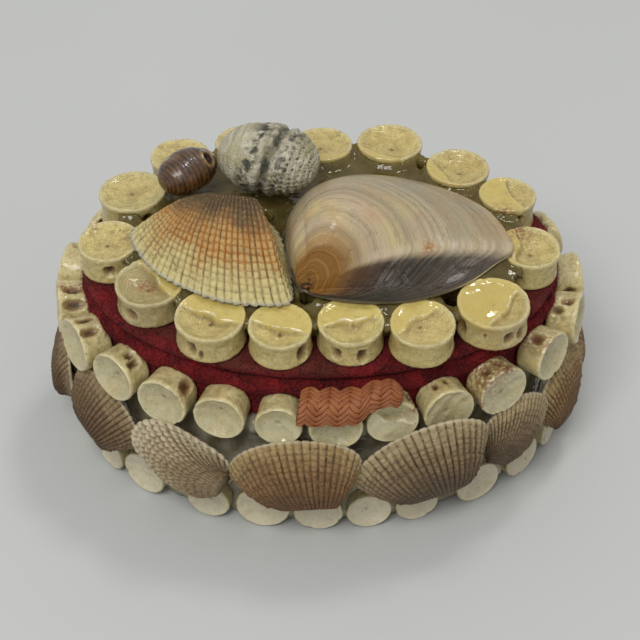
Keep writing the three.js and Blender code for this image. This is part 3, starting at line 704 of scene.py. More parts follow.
def braid_tree():
    """A flat herringbone braid: columns of slanting strands, the slant turned every column."""
    tree, group = growth_tree("herringbone_braid", [
        ("Columns", "Int", 11), ("Rows", "Int", 9), ("Column Width", "Float", 0.002),
        ("Pitch", "Float", 0.001), ("Strand Length", "Float", 0.003),
        ("Strand Width", "Float", 0.0011), ("Thickness", "Float", 0.0008), ("Slant", "Float", 0.66),
        ("Material", "Material", None)])
    take = group.outputs
    wide = times(tree, minus(tree, take["Columns"], 1), take["Column Width"])
    tall = times(tree, minus(tree, take["Rows"], 1), take["Pitch"])
    grid = add(tree, "GeometryNodeMeshGrid", {
        "Size X": wide, "Size Y": tall, "Vertices X": take["Columns"], "Vertices Y": take["Rows"]})
    index = add(tree, "GeometryNodeInputIndex").outputs[0]
    column = maths(tree, "FLOOR", maths(tree, "DIVIDE", index, take["Rows"]))
    odd = maths(tree, "FLOORED_MODULO", column, 2.0)
    shift = add(tree, "ShaderNodeCombineXYZ", {1: times(tree, times(tree, odd, 0.5), take["Pitch"])})
    points = add(tree, "GeometryNodeSetPosition", {
        "Geometry": grid.outputs["Mesh"], "Offset": shift.outputs[0]}).outputs[0]
    strand = add(tree, "GeometryNodeMeshUVSphere", {"Segments": 14, "Rings": 8, "Radius": 0.5})
    across = add(tree, "ShaderNodeSeparateXYZ", {0: add(tree, "GeometryNodeInputPosition").outputs[0]})
    strand = stored(tree, strand.outputs["Mesh"], "thread", across.outputs[1])
    sizes = add(tree, "ShaderNodeCombineXYZ", {
        0: take["Strand Length"], 1: take["Strand Width"], 2: take["Thickness"]}).outputs[0]
    strand = add(tree, "GeometryNodeTransform", {"Geometry": strand, "Scale": sizes}).outputs[0]
    slant = times(tree, level(tree, odd, 0, 1, -1, 1), take["Slant"])
    turn = add(tree, "ShaderNodeCombineXYZ", {1: 0.12, 2: slant}).outputs[0]
    strands = add(tree, "GeometryNodeInstanceOnPoints", {
        "Points": points, "Instance": strand,
        "Rotation": add(tree, "FunctionNodeEulerToRotation", {0: turn}).outputs[0]}).outputs[0]
    return close_tree(tree, strands, group)


# ------------------------------------------------------------------ vertebrae
def vertebra(name, radius, length, place, material, look, sides, taper=1.0):
    """A fish vertebra: a waisted drum with lips, side pits and a dished, ringed face.

    look: pits (turn, height share, half width, half length, depth), chips (turns), film (how
    far the glue film reaches past the middle), film_from (turn it comes from), gloss (glue all
    over the face), dish, waist, shape (how oval), eye (turn, distance of the face's middle),
    tone, warm, and red and rust stains (turn, distance, size, strength)."""
    seed = look["seed"]
    rng = np.random.default_rng(seed)
    side_steps, face_steps = max(14, sides // 6), max(10, sides // 8)
    lip = 0.11 * radius
    rise = np.linspace(0, 1, side_steps)
    ends = 1 - 0.3 / radius * (1 - smoothstep(np.minimum(rise, 1 - rise), 0, 0.07))
    waist = look.get("waist", 0.07) * np.sin(math.pi * rise) ** 0.8
    side_r = mix(taper, 1.0, rise) * radius * ends * (1 - waist)
    share = np.linspace(1, 0.04, face_steps)
    across = np.concatenate([[0.5 * radius * taper, 0.94 * radius * taper], side_r,
                             [radius - 0.4, radius - 0.7 * lip], (radius - lip) * share])
    face_z = length - look.get("dish", 0.26) * radius * (1 - share**2) ** 0.8
    up = np.concatenate([[0, 0], rise * length, [length + 0.08, length + 0.05], face_z])
    on_side = np.concatenate([[0, 0], np.ones(side_steps), np.zeros(2 + face_steps)])
    on_face = np.concatenate([np.zeros(2 + side_steps), [0.5, 0.8], np.ones(face_steps)])
    on_rim = np.concatenate([[0, 0], smoothstep(rise, 0.85, 1), [1, 1], smoothstep(share, 0.9, 1)])

    turn = np.linspace(0, 2 * math.pi, sides, endpoint=False)
    turn, r = np.meshgrid(turn, across)
    z = np.broadcast_to(up[:, None], r.shape).copy()
    side, face, rim = (f[:, None] * np.ones_like(r) for f in (on_side, on_face, on_rim))
    oval = look.get("shape", 0.02)
    r = r * (1 - oval * (0.5 - 0.5 * np.cos(2 * turn)))
    r = r * (1 + 0.01 * wobble(seed, 1.6, np.cos(turn), np.sin(turn)))

    def distance(degrees):
        gap = turn - math.radians(degrees)
        return radius * np.arctan2(np.sin(gap), np.cos(gap))

    # How deep in a pit a point lies, for the painted shade in the pits.
    pit_shade = np.zeros_like(r)
    for at, height, wide, long, depth in look["pits"]:
        dx, dz = distance(at) / wide, (z - height * length) / long
        far = (np.abs(dx) ** 2.6 + np.abs(dz) ** 2.6) ** 0.4
        far = far + 0.07 * wobble(seed + 7, 1.2, distance(at), z)
        sunk = (1 - smoothstep(far, 0.9, 1.04)) * side
        inner = 1 - smoothstep(far, 0.2, 0.9)
        pit_shade = np.maximum(pit_shade, sunk * (0.45 + 0.55 * inner))
        r = r - depth * sunk * (0.75 + 0.35 * inner)
        brim = np.exp(-((far - 1.16) / 0.11) ** 2) * side
        r = r + 0.16 * brim
        rim = np.maximum(rim, 0.8 * brim)
    for at in look.get("chips", rng.uniform(0, 360, 2)):
        nick = np.exp(-(distance(at) / rng.uniform(0.3, 0.7)) ** 2) * rim
        r, z = r - 0.2 * nick, z - 0.25 * nick
    r = r + side * 0.06 * wobble(seed + 1, 1.7, radius * np.cos(turn), radius * np.sin(turn), z)

    x, y = r * np.cos(turn), r * np.sin(turn)
    eye_turn, eye_out = look.get("eye", (rng.uniform(0, 360), 0.5))
    eye_x, eye_y = (eye_out * f(math.radians(eye_turn)) for f in (math.cos, math.sin))
    off = np.hypot(x - eye_x, y - eye_y)
    z = z - face * (0.03 * np.sin(off * 2 * math.pi / 0.75) * smoothstep(off, 0.6, 1.5))
    z = z - 0.3 * np.exp(-(off / 0.5) ** 2) * face + 0.1 * np.exp(-((off - 0.95) / 0.3) ** 2) * face
    z = z + face * 0.12 * wobble(seed + 2, 4.0, x, y)

    glue, seam, meniscus_highlight = (np.zeros_like(r) for _ in range(3))
    if look.get("film") is not None:
        heading = math.radians(look["film_from"])
        reach = x * math.cos(heading) + y * math.sin(heading) + look["film"]
        reach = reach + 0.8 * wobble(seed + 3, 8, x, y) + 0.05 * wobble(seed + 4, 2, x, y)
        top = np.maximum(face, rim * (up > 0.9 * length)[:, None])
        film_z = np.maximum(z + 0.08, length - 0.18 + 0.2 * rim + 0.1 * wobble(seed + 5, 5, x, y))
        step = np.clip((film_z - z) / 0.8, 0, 1)
        glue = smoothstep(reach, 0, 0.4) * top
        # A dark line at the foot of the film's step, painted shade, and a pale line along its lip, a
        # painted highlight.
        seam = np.exp(-((reach + 0.15) / 0.4) ** 2) * face * step
        meniscus_highlight = np.exp(-((reach - 0.55) / 0.16) ** 2) * face * step
        z = mix(z, film_z, smoothstep(reach, -0.3, 0.7) * top)
        z = z + 0.07 * np.exp(-((reach - 0.6) / 0.3) ** 2) * face * step
    glue = np.maximum(glue, look.get("gloss", 0.0) * face)

    def stain(spots):
        total = np.zeros_like(r)
        for at, out, size, strength in spots:
            sx, sy = (out * radius * f(math.radians(at)) for f in (math.cos, math.sin))
            total += strength * np.exp(-(((x - sx) ** 2 + (y - sy) ** 2) / size**2))
        return np.clip(total, 0, 1)

    points = moved(np.stack([x, y, z], -1).reshape(-1, 3), place).reshape(r.shape + (3,))
    # The eye, a shallow dimple in the face's middle, is painted dark as the shade of a deeper pit.
    eye = np.exp(-(off / 0.45) ** 2) * face * (1 - 0.6 * glue)
    facts = {"pit_shade": np.maximum(pit_shade, 0.9 * eye), "face": face, "glue": glue, "across": off, "rim": rim,
             "seam": seam, "meniscus_highlight": meniscus_highlight,
             "tone": np.full_like(r, look.get("tone", rng.uniform(0, 1))),
             "warm": np.full_like(r, look.get("warm", 0.2)),
             "red": stain(look.get("red", [])), "rust": stain(look.get("rust", []))}
    return make_piece(name, skin(points, facts), material)


def paired_pits(rng, wide, long, depth=1.2):
    """Two pairs of pits on opposite sides, where arches once stood."""
    first = rng.uniform(0, 360)
    return [(first + at, 0.5 + rng.uniform(-0.06, 0.06), wide * rng.uniform(0.8, 1.15),
             long * rng.uniform(0.8, 1.1), depth) for at in (0, 26, 180, 205)]


def lid_place(x, y):
    """A frame on the lid for a vertebra that leans a few degrees outwards."""
    outward = np.array([x / BED["a"] ** 2, y / BED["b"] ** 2, 0])
    outward /= np.linalg.norm(outward)
    place = turned(Vector((-outward[1], outward[0], 0)), LID_LEAN)
    place[:3, 3] = np.array([x, y, ROW_Z["lid"]]) - LENGTH["lid"] * place[:3, 2]
    return place


# What each lid vertebra shows, by its number in the ring.
LID_LOOKS = {
    1: dict(pits=[(-60, 0.45, 1.4, 1.8, 1.1)], dish=0.16, red=[(30, 0.35, 1.2, 0.5)], warm=0.1),
    2: dict(dish=0.1, warm=0.1, tone=-0.6), 3: dict(dish=0.12, warm=0.4),
    4: dict(dish=0.16, film=-3.4, warm=0.3),
    5: dict(dish=0.2, film=-4.2, warm=0.5, eye=(-60, 1.0), tone=-0.6), 6: dict(film=-3.6, warm=0.6),
    7: dict(film=1.8, warm=0.35, rust=[(-100, 0.9, 2.5, 0.8)]),
    8: dict(pits=[(-122, 0.62, 1.8, 1.5, 1.6)], dish=0.3, film=-2.5, warm=0.3, rust=[(115, 0.8, 3, 0.8)]),
    9: dict(pits=[(-62, 0.45, 1.55, 1.8, 1.1), (-37, 0.45, 1.3, 2.2, 0.8), (-152, 0.5, 1.5, 2.4, 1.0),
                  (-106, 0.55, 0.5, 0.5, 0.4)], film=3.2, warm=1.0, shape=0.05, tone=1.6),
    10: dict(pits=[(-22, 0.5, 1.1, 1.9, 1.2), (160, 0.5, 1.4, 2.0, 1.2)], film=-1.2, warm=0.5, dish=0.18),
    11: dict(pits=[(-117, 0.45, 1.3, 1.9, 1.2), (-68, 0.4, 1.35, 2.1, 1.3)], film=0.4, warm=0.15,
             chips=[-96, 20, 140]),
    12: dict(pits=[(-42, 0.5, 1.75, 2.6, 1.1)], film=0.9, warm=0.2, eye=(-90, 1.3)),
    13: dict(pits=[(-124, 0.48, 1.35, 2.2, 1.2), (-106, 0.3, 0.6, 1.4, 0.4)], film=-0.2, warm=0.3,
             film_from=65, eye=(-80, 0.6)),
    14: dict(pits=[(-128, 0.45, 2.3, 1.8, 1.4)], film=-1.4, film_from=30, warm=0.1, dish=0.28, tone=3.0,
             red=[(150, 0.18, 1.9, 0.75)], rust=[(-20, 0.1, 0.9, 0.9)]),
    15: dict(pits=[(-88, 0.5, 1.6, 1.7, 1.4), (-38, 0.55, 1.4, 1.4, 1.1)], dish=0.2, warm=0.2,
             red=[(-30, 0.25, 1.5, 0.45)], rust=[(20, 0.5, 1.6, 0.5)]),
}
# The same for the upper row; those at the back have no look of their own.
UPPER_LOOKS = {
    1: dict(pits=[(84, 0.5, 1.45, 2.6, 1.3), (42, 0.5, 1.6, 2.7, 0.7)], red=[(90, 0.9, 1.4, 0.8)]),
    2: dict(pits=[(62, 0.6, 1.4, 2.4, 1.3), (96, 0.55, 1.1, 2.3, 0.5)], warm=0.1),
    3: dict(pits=[(74, 0.4, 1.3, 1.4, 1.2), (50, 0.5, 1.2, 1.9, 1.2)], warm=0.35),
    4: dict(pits=[(42, 0.45, 1.9, 2.2, 0.7)], rust=[(42, 0.95, 1.7, 0.55)], warm=0.2, tone=-0.4),
    5: dict(pits=[(200, 0.5, 1.2, 1.8, 0.9)], warm=0.4, waist=0.02, eye=(90, 1.2)),
    6: dict(pits=[], warm=0.1, gloss=0.95),
    7: dict(pits=[(20, 0.5, 1.2, 1.8, 0.9)]),
    8: dict(pits=[(40, 0.5, 1.4, 1.8, 0.8)], rust=[(30, 0.9, 1.2, 0.9)], film=1.0, film_from=-110,
            gloss=0.6),
    9: dict(pits=[(114, 0.42, 0.8, 1.5, 0.8), (84, 0.4, 0.7, 1.3, 0.6)], warm=0.35, dish=0.14),
    10: dict(pits=[(118, 0.45, 1.5, 1.6, 1.4), (80, 0.5, 1.3, 1.6, 1.3)], warm=0.2,
             rust=[(135, 1.0, 4.5, 0.75), (80, 1.0, 2.0, 0.9)], red=[(186, 0.98, 0.9, 1.0)], dish=0.12),
    11: dict(pits=[(112, 0.5, 1.7, 1.8, 0.5)], rust=[(112, 1.0, 3.0, 0.6)], warm=0.15),
    12: dict(pits=[(126, 0.35, 1.3, 1.3, 1.2), (98, 0.6, 1.4, 1.6, 1.3)], warm=0.3),
}


def lid_row(material):
    """The ring of vertebrae that lie flat on the lid."""
    for index, (x, y, radius) in enumerate(LID_ROW, 1):
        rng = np.random.default_rng(40 + index)
        look = {"seed": index, "pits": paired_pits(rng, 1.3, 1.9),
                "film_from": math.degrees(math.atan2(-y, -x)), "shape": 0.03} | LID_LOOKS[index]
        name = f"lid_bone_{index:02d}"
        disc = vertebra(name, radius, LENGTH["lid"], lid_place(x, y), material, look,
                        SIDES["lid_front" if index >= LID_FRONT else "lid_back"])
        belongs(disc, "lid_bone", f"lid_vertebra_{index:02d}")


def upper_row(material):
    """The vertebrae on edge under the rim, each tipped a little."""
    turns = even_turns(UPPER_BACK["from"], UPPER_BACK["to"], UPPER_BACK["count"])
    back = [(turn, UPPER_BACK["radius"] * (1 + 0.04 * math.sin(7 * i)), UPPER_BACK["length"])
            for i, turn in enumerate(turns)]
    for index, (turn, radius, length) in enumerate(UPPER_FRONT + back, 1):
        rng = np.random.default_rng(80 + index)
        place = wall_frame(turn, ROW_Z["upper"], GAP + radius * math.sin(math.radians(UPPER_TIP)))
        look = {"seed": 30 + index, "pits": paired_pits(rng, 1.3, 2.1), "warm": 0.2, "dish": 0.36,
                "gloss": 0.55, "waist": 0.03} | UPPER_LOOKS.get(index, {})
        sides = SIDES["upper_front" if index <= len(UPPER_FRONT) else "upper_back"]
        disc = vertebra(f"upper_bone_{index:02d}", radius, length, place @ turned("X", -UPPER_TIP),
                        material, look, sides, taper=0.9)
        belongs(disc, "bone", f"upper_vertebra_{index:02d}")


def lower_row(material):
    """The smaller vertebrae on edge round the foot."""
    turns = even_turns(LOWER_BACK["from"], LOWER_BACK["to"], LOWER_BACK["count"])
    back = [(turn, LOWER_BACK["radius"] * (1 + 0.04 * math.sin(7 * i))) for i, turn in enumerate(turns)]
    for index, (turn, radius) in enumerate(LOWER_FRONT + back, 1):
        rng = np.random.default_rng(120 + index)
        look = {"seed": 60 + index, "pits": paired_pits(rng, 1.1, 0.9, 1.0), "warm": rng.uniform(0, 0.3),
                "dish": 0.22, "gloss": 0.85, "waist": 0.03}
        disc = vertebra(f"lower_bone_{index:02d}", radius, LENGTH["lower"],
                        wall_frame(turn, radius + 0.05, LOWER_START), material, look,
                        SIDES["lower"], taper=0.97)
        belongs(disc, "lower_row", "lower_row")


# --------------------------------------------------------------------- valves
def valve(shape, sectors, rings, lip=0.5, drop=0.15):
    """A valve wound from its beak: growth lines are copies of its margin that shrink
    towards the beak while they turn up about the hinge. lip: how far its thin edge stands
    out past the margin; drop: how far that edge hangs.

    The outside, a lip at the margin, and a hollow inside make one closed body."""
    beak = np.array(shape["beak"])
    ray = closed_curve(shape["margin"], sectors) - beak
    length = np.hypot(*ray.T)
    facing = math.radians(shape["facing"])
    far = np.array([math.cos(facing), math.sin(facing)])
    side = np.array([far[1], -far[0]])
    out, aside = ray @ far, ray @ side
    crest = shape["lift"] * np.maximum(out, 0) ** shape["lean"] * length ** (1 - shape["lean"])
    opened = smoothstep(out / length, 0, 0.4)
    start = int(np.argmin(out / length))
    along = ((np.arange(sectors) - start) % sectors) / sectors

    def growth_line(share, sunk=0.0):
        bend = min(-math.log(share) / shape["curl"], math.radians(STEEPEST))
        grown = aside * np.where(aside > 0, share ** shape["widen"][0], share ** shape["widen"][1])
        reach = out * share * np.where(out > 0, math.cos(bend), 1)
        ground = beak + grown[:, None] * side + reach[:, None] * far
        height = np.maximum(RIM + crest * share * math.sin(bend) - sunk, 0.1)
        return np.concatenate([ground, shape["base"] + height[:, None]], 1)

    shares = np.linspace(0.015, 1, rings) ** 0.9
    inner = [0.96, 0.84, 0.66, 0.45, 0.25, 0.1, 0.03]
    if lip > 0.5:
        lip = lip * (1 + 0.12 * np.sin(2 * math.pi * along * 45))
    beyond = (growth_line(1) - np.append(beak, 0)) * (1 + lip / length)[:, None] + np.append(beak, 0)
    edge = []
    for grown, sunk in ((0.4, drop), (1.0, drop + 0.2), (0.9, 0.7), (0.0, RIM)):
        line = mix(growth_line(1), beyond, grown)
        line[:, 2] = shape["base"] + RIM - sunk
        edge.append(line)
    points = np.array([growth_line(s) for s in shares] + edge
                      + [growth_line(s, 1.0 + 1.2 * (1 - s)) for s in inner])
    facts = {
        "share": np.concatenate([shares, np.ones(4), inner])[:, None], "along": along[None],
        "open": opened[None],
        "outer": np.concatenate([np.ones(rings), [0.8, 0.8, 0.5, 0], np.zeros(len(inner))])[:, None],
        "lip": np.concatenate([np.zeros(rings), [0.2, 1, 1, 1], np.ones(len(inner))])[:, None],
    }
    return points, {name: np.broadcast_to(value, points.shape[:2]) for name, value in facts.items()}


# Highest point of a spiral of curl 1, for one millimetre of lift.
ARK_CREST = math.exp(-math.pi / 4) * math.sqrt(0.5)
ARK_MARGIN = [(0.10, -0.46), (0.34, -0.36), (0.47, -0.06), (0.50, 0.26), (0.36, 0.44), (0.08, 0.52),
              (-0.22, 0.46), (-0.43, 0.27), (-0.50, 0.02), (-0.40, -0.20), (-0.16, -0.40)]


# Finishes of the ark shells of the wall: tints of the beak, band, crest, margin and groove,
# and how pale the knots are.
ARK_FINISHES = {
    "brown": ("#5C4428", "#6A5034", "#86694A", "#A08A66", "#3A281A", 0.3),
    "beaded": ("#8E7858", "#A8926E", "#B29E7A", "#D2C6A8", "#5E4830", 0.8),
    "tan": ("#6E4C2A", "#7E5C34", "#8C6C44", "#B49A6A", "#3E2A16", 0.35),
    "grey": ("#5C4834", "#6E563C", "#8A7250", "#B4A078", "#382818", 0.5),
}
FRONT_FINISHES = ["brown", "beaded", "tan", "grey", "grey", "tan"]
# Ribs of a beaded ark shell, and of the others, whose ribs are finer and lower.
BEADED_RIBS = {"Ribs": 32.0, "Depth": 1.0 * MM, "Groove": 0.9, "Cut": 0.2, "Knot Depth": 0.45}
FINE_RIBS = {"Ribs": 44.0, "Depth": 0.7 * MM, "Groove": 0.6, "Cut": -0.4, "Knot Depth": 0.2}


def side_arks(ribs):
    """The ark shells round the wall; each has its own tones."""
    looks = {name: ark_material(f"ark_shell_{name}", *tints, lip="#C4B596", pale=pale)
             for name, (*tints, pale) in ARK_FINISHES.items()}
    finishes = list(ARK_FINISHES)
    turns = even_turns(SHELLS_BACK["from"], SHELLS_BACK["to"], SHELLS_BACK["count"])
    z, wide, tall, deep = SHELLS_BACK["shape"]
    back = [(turn, z, wide, tall, deep, SHELLS_BACK["roll"] * (-1) ** i, SHELLS_BACK["out"], 1)
            for i, turn in enumerate(turns)]
    for index, (turn, z, wide, tall, deep, roll, out, lean) in enumerate(SHELLS_FRONT + back):
        shape = {"margin": [(x * wide, y * tall) for x, y in ARK_MARGIN],
                 "beak": (0.09 * wide, -0.43 * tall), "base": 0, "facing": 90, "lean": 0.3,
                 "lift": (deep - RIM) / (ARK_CREST * 0.95 * tall), "curl": 1, "widen": (0.65, 0.65)}
        front = index < len(SHELLS_FRONT)
        points, facts = valve(shape, sectors=216 if front else 128, rings=64 if front else 30)
        place = wall_frame(turn, z, out) @ turned("X", lean) @ turned("Z", roll)
        points = moved(points.reshape(-1, 3), place).reshape(points.shape)
        shell = make_piece(f"side_ark_{index + 1:02d}", skin(points, facts))
        finish = FRONT_FINISHES[index] if front else finishes[index % len(finishes)]
        beaded = finish == "beaded"
        grown(shell, ribs, Knots=tall / (1.4 if beaded else 1.2), Steps=1.3 * MM, Seed=float(index),
              Material=looks[finish], **(BEADED_RIBS if beaded else FINE_RIBS))
        belongs(shell, "ark", f"ark_shell_{index + 1:02d}")


def lid_ark(ribs):
    material = ark_material("ark_shell_banded", "#4A3320", "#B4701E", "#B8945A", "#D2C488", "#684A26",
                            lip="#BDB8A6", pale=0.6, dull=0.48)
    points, facts = valve(ARK, sectors=324, rings=96, lip=1.4, drop=0.45)
    shell = make_piece("lid_ark", skin(points, facts))
    grown(shell, ribs, Ribs=58.0, Depth=0.7 * MM, Groove=0.5, Knots=24.0, Cut=-0.2, Steps=0.9 * MM,
          Seed=21.0, Material=material, **{"Knot Depth": 0.3})
    belongs(shell, "lid_ark", "lid_ark_shell")


def clam():
    """The ridge runs from the beak to the right tip; below it the shell falls steeply."""
    sectors = 220
    points, facts = valve(CLAM, sectors, rings=80, lip=0.15)
    beak, tip = np.array(CLAM["beak"]), np.array(CLAM["margin"][0])
    ray = closed_curve(CLAM["margin"], sectors) - beak
    gap = np.arctan2(ray[:, 1], ray[:, 0]) - math.atan2(*(tip - beak)[::-1])
    beside = np.degrees(np.arctan2(np.sin(gap), np.cos(gap)))[None] + np.zeros(points.shape[:2])
    share = facts["share"]
    points[..., 2] += 0.35 * np.exp(-((beside + 1) / 5) ** 2) * np.sin(math.pi * share) * facts["outer"]
    facts["below"] = np.where(beside < 0, np.clip(-beside / 20, 0, 1), 0) * (beside > -60)
    # Where the pale painted highlight runs along the ridge.
    facts["ridge_highlight"] = np.exp(-((beside - 1) / 3.0) ** 2)
    facts["tip"] = np.exp(-((beside + 7) / 7.0) ** 2)
    facts["spot"] = np.exp(-((beside - 1) / 3.0) ** 2 - ((share - 0.7) / 0.022) ** 2)
    shell = make_piece("lid_clam", skin(points, facts), clam_material())
    belongs(shell, "clam", "lid_clam_shell")


# --------------------------------------------------------------------- snails
def snail(shape, groove, rings, sides):
    """Egg-shaped body grooved by the seam that winds round its axis, as shares of its length,
    shares of a turn, and radii to shape further."""
    share = np.linspace(0.004, 0.996, rings)[:, None] * np.ones(sides)
    around = np.arange(sides)[None] / sides * np.ones((rings, 1))
    body = np.sin(math.pi * share) ** 0.9 * (1 - shape["taper"] * share)
    seam = np.cos(2 * math.pi * (share * shape["whorls"] - around))
    radius = body * (1 - groove * (0.5 + 0.5 * seam) ** 3)
    return share, around, radius


def snail_points(shape, share, around, radius):
    """The points of a snail, laid down where it lies on the lid."""
    turn = 2 * math.pi * around
    half = shape["half"]
    points = np.stack([-half[0] * np.cos(math.pi * share), half[1] * radius * np.cos(turn),
                       half[2] * radius * np.sin(turn)], -1)
    place = turned("Z", shape["heading"])
    place[:3, 3] = shape["at"]
    return moved(points.reshape(-1, 3), place).reshape(points.shape)


def turban():
    """A smooth worn cone to the left, a step, and a ribbed body whorl with a ragged lip."""
    share, around, radius = snail(TURBAN, groove=0.05, rings=116, sides=144)
    step_at = 0.55 + 0.05 * np.cos(2 * math.pi * (around - 0.1))
    radius = radius * (1 - 0.13 * np.exp(-((share - step_at) / 0.022) ** 2))
    radius = radius * (1 - 0.07 * (1 - smoothstep(share, 0.1, 0.5)))
    ribbed = smoothstep(share - step_at, 0.0, 0.05)
    cords = np.cos(2 * math.pi * (share - step_at) * 19)
    knots = np.cos(2 * math.pi * around * 30 + 3 * np.sin(share * 50))
    worn = 0.012 * wobble(9, 0.16, share * 2, around) + 0.01 * wobble(10, 0.05, share * 2, around)
    radius = radius + ribbed * 0.022 * cords * (1 + 0.8 * knots) + worn
    gap = around - 0.8
    gap = gap - np.round(gap)
    jag = 0.3 * wobble(11, 0.05, around, share * 0.2)
    mouth = 1 - smoothstep((gap / 0.12) ** 2 + ((share - 0.84) / 0.12) ** 2 + jag, 0.75, 1.0)
    radius = radius * (1 - 0.5 * mouth)
    seam_dark = np.exp(-((share - step_at) / 0.03) ** 2)
    # groove takes the mouth under the lip too, for its painted shade.
    facts = {"share": share, "around": around, "groove": np.maximum(seam_dark, 0.9 * mouth),
             "dark": np.exp(-((share - step_at + 0.11) / 0.06) ** 2) + 0.9 * seam_dark
             + 0.8 * np.exp(-((share - step_at - 0.1) / 0.05) ** 2),
             "speckled": ribbed * smoothstep(-cords * (0.4 + 0.6 * knots), -0.1, 0.5)}
    shell = make_piece("lid_turban", skin(snail_points(TURBAN, share, around, radius), facts),
                       turban_material())
    belongs(shell, "turban", "lid_turban_shell")


def winkle():
    """A plump snail with fine cords and a round hole broken in its body whorl: a dent painted near black
    as the shade inside.
    """
    share, around, radius = snail(WINKLE, groove=0.06, rings=90, sides=90)
    cords = np.cos(2 * math.pi * share * 19)
    radius = radius + 0.004 * cords * np.sin(math.pi * share)
    gap = around - 0.35
    gap = gap - np.round(gap)
    far = ((gap / 0.06) ** 2 + ((share - 0.69) / 0.06) ** 2) ** 0.5
    shaded_hole = 1 - smoothstep(far, 0.75, 1.0)
    radius = radius * (1 - 0.45 * shaded_hole) + 0.05 * np.exp(-((far - 1.25) / 0.2) ** 2) * radius
    facts = {"cord": smoothstep(cords, -0.3, 0.8), "shaded_hole": shaded_hole,
             "rim": 0.6 * np.exp(-((far - 1.3) / 0.25) ** 2) + smoothstep(share, 0.76, 0.82) * (gap < 0)}
    shell = make_piece("lid_winkle", skin(snail_points(WINKLE, share, around, radius), facts),
                       winkle_material())
    belongs(shell, "winkle", "lid_winkle_shell")


# --------------------------------------------------------------------- velvet
def oval_body(profile, sectors, soften):
    """An oval body turned from a profile of (offset from the wall's oval, height), softened."""
    profile = np.array(profile, float)
    turn = np.linspace(0, 2 * math.pi, sectors, endpoint=False)[None]
    offset, z = profile[:, :1] * np.ones_like(turn), profile[:, 1:] * np.ones_like(turn)
    offset, z = soften(offset, z, turn)
    return np.stack([(WALL["a"] + offset) * np.cos(turn), (WALL["b"] + offset) * np.sin(turn), z], -1)


def rounded(start, stop, bulge, steps):
    """Points from start to stop that bow out sideways like half an ellipse."""
    s = np.linspace(0, 1, steps)
    return [(mix(start[0], stop[0], t) + bulge * math.sin(math.pi * t), mix(start[1], stop[1], t))
            for t in s]


def velvet_pieces():
    """The box with its padded, outward rolled rim, and the lid with its plug."""
    material = velvet_material()
    pile = pile_tree()
    inner = -WALL["thick"]
    roll = rounded((0.2, 39.5), (-0.6, ROLL["high"]), ROLL["bulge"], 18)
    box_profile = [(0, 0), (0, 12), (0, 26), (0.1, 36), *roll, (inner + 0.6, ROLL["high"]),
                   (inner, ROLL["high"] - 0.6), (inner, 30), (inner, 12), (inner, WALL["floor"])]

    def puckered(offset, z, turn):
        padded = smoothstep(z, 39, 43) * (offset > -1)
        x, y = WALL["a"] * np.cos(turn), WALL["b"] * np.sin(turn)
        folds = 0.35 * wobble(3, 9, x, y, 2 * z) + 0.12 * wobble(4, 3, x, y, z) - 0.25
        return offset + padded * folds, z

    points = oval_body(box_profile, sectors=300, soften=puckered)
    heights = points[..., 2]
    outside = box_profile.index(roll[0]) + len(roll)
    shown = smoothstep(heights, 40, 42) * (np.arange(len(points))[:, None] < outside)
    # deep: the top of the roll under the lid, painted dark as the shade of the gap between lid and box.
    facts = {"pile": shown, "soaked": 0.0, "deep": smoothstep(heights, 45.0, 46.0) * 0.6}
    box = make_piece("velvet_box", skin(points, facts))
    grown(box, pile, Material=material)
    belongs(box, "velvet", "box")

    edge = LID["a"] - WALL["a"]
    plug = -WALL["thick"] - LID["plug_play"]
    side = rounded((edge - 0.45, LID["low"]), (edge - 0.6, LID["high"] - 0.1), 0.45, 12)
    lid_profile = [(plug, LID["low"] - LID["plug_drop"]), (plug, LID["low"]), (-2, LID["low"]), *side,
                   *((offset, LID["high"]) for offset in (edge - 1.2, edge - 3, -8, -16))]

    def wrinkled(offset, z, turn):
        x, y = WALL["a"] * np.cos(turn), WALL["b"] * np.sin(turn)
        on_edge = (offset > 0.2) * 1.0
        offset = offset + on_edge * (0.15 * wobble(13, 7, x, y, z) - 0.15)
        return offset, z + on_edge * 0.08 * wobble(14, 5, x, y)

    points = oval_body(lid_profile, sectors=300, soften=wrinkled)
    heights = points[..., 2]
    puddles = smoothstep(wobble(15, 22, points[..., 0], points[..., 1]), -0.4, 0.7)
    facts = {"pile": smoothstep(heights, 46.4, 46.8) * 0.55,
             # deep: the lid's lower edge, painted dark as the shade of the gap over the box.
             "deep": 1 - smoothstep(heights, 46.3, 47.0),
             "soaked": puddles * smoothstep(heights, 47, 48.4)}
    lid = make_piece("velvet_lid", skin(points, facts))
    grown(lid, pile, Material=material, Seed=8, Length=0.5 * MM)
    belongs(lid, "velvet", "lid")


# ----------------------------------------------------------------------- glue
def field_body(x, y, top, bottom, kept, facts):
    """A closed body between two heights over a grid, only over the cells that are kept."""
    rows, columns = x.shape
    count = rows * columns
    points = np.concatenate([np.stack([x, y, top], -1).reshape(-1, 3),
                             np.stack([x, y, bottom], -1).reshape(-1, 3)])
    at = np.arange(count).reshape(rows, columns)
    cell = kept[:-1, :-1] & kept[1:, :-1] & kept[1:, 1:] & kept[:-1, 1:]
    quads = np.stack([at[:-1, :-1], at[1:, :-1], at[1:, 1:], at[:-1, 1:]], -1)[cell]
    edges = np.concatenate([quads[:, [k, (k + 1) % 4]] for k in range(4)])
    seen = {(a, b) for a, b in edges.tolist()}
    rim = np.array([(a, b) for a, b in seen if (b, a) not in seen])
    walls = np.stack([rim[:, 1], rim[:, 0], rim[:, 0] + count, rim[:, 1] + count], 1)
    faces = np.concatenate([quads, quads[:, ::-1] + count, walls])
    used = np.unique(faces)
    renumber = np.zeros(2 * count, int)
    renumber[used] = np.arange(len(used))
    facts = {name: np.tile(np.asarray(value).ravel(), 2)[used] for name, value in facts.items()}
    return points[used], [renumber[faces]], facts


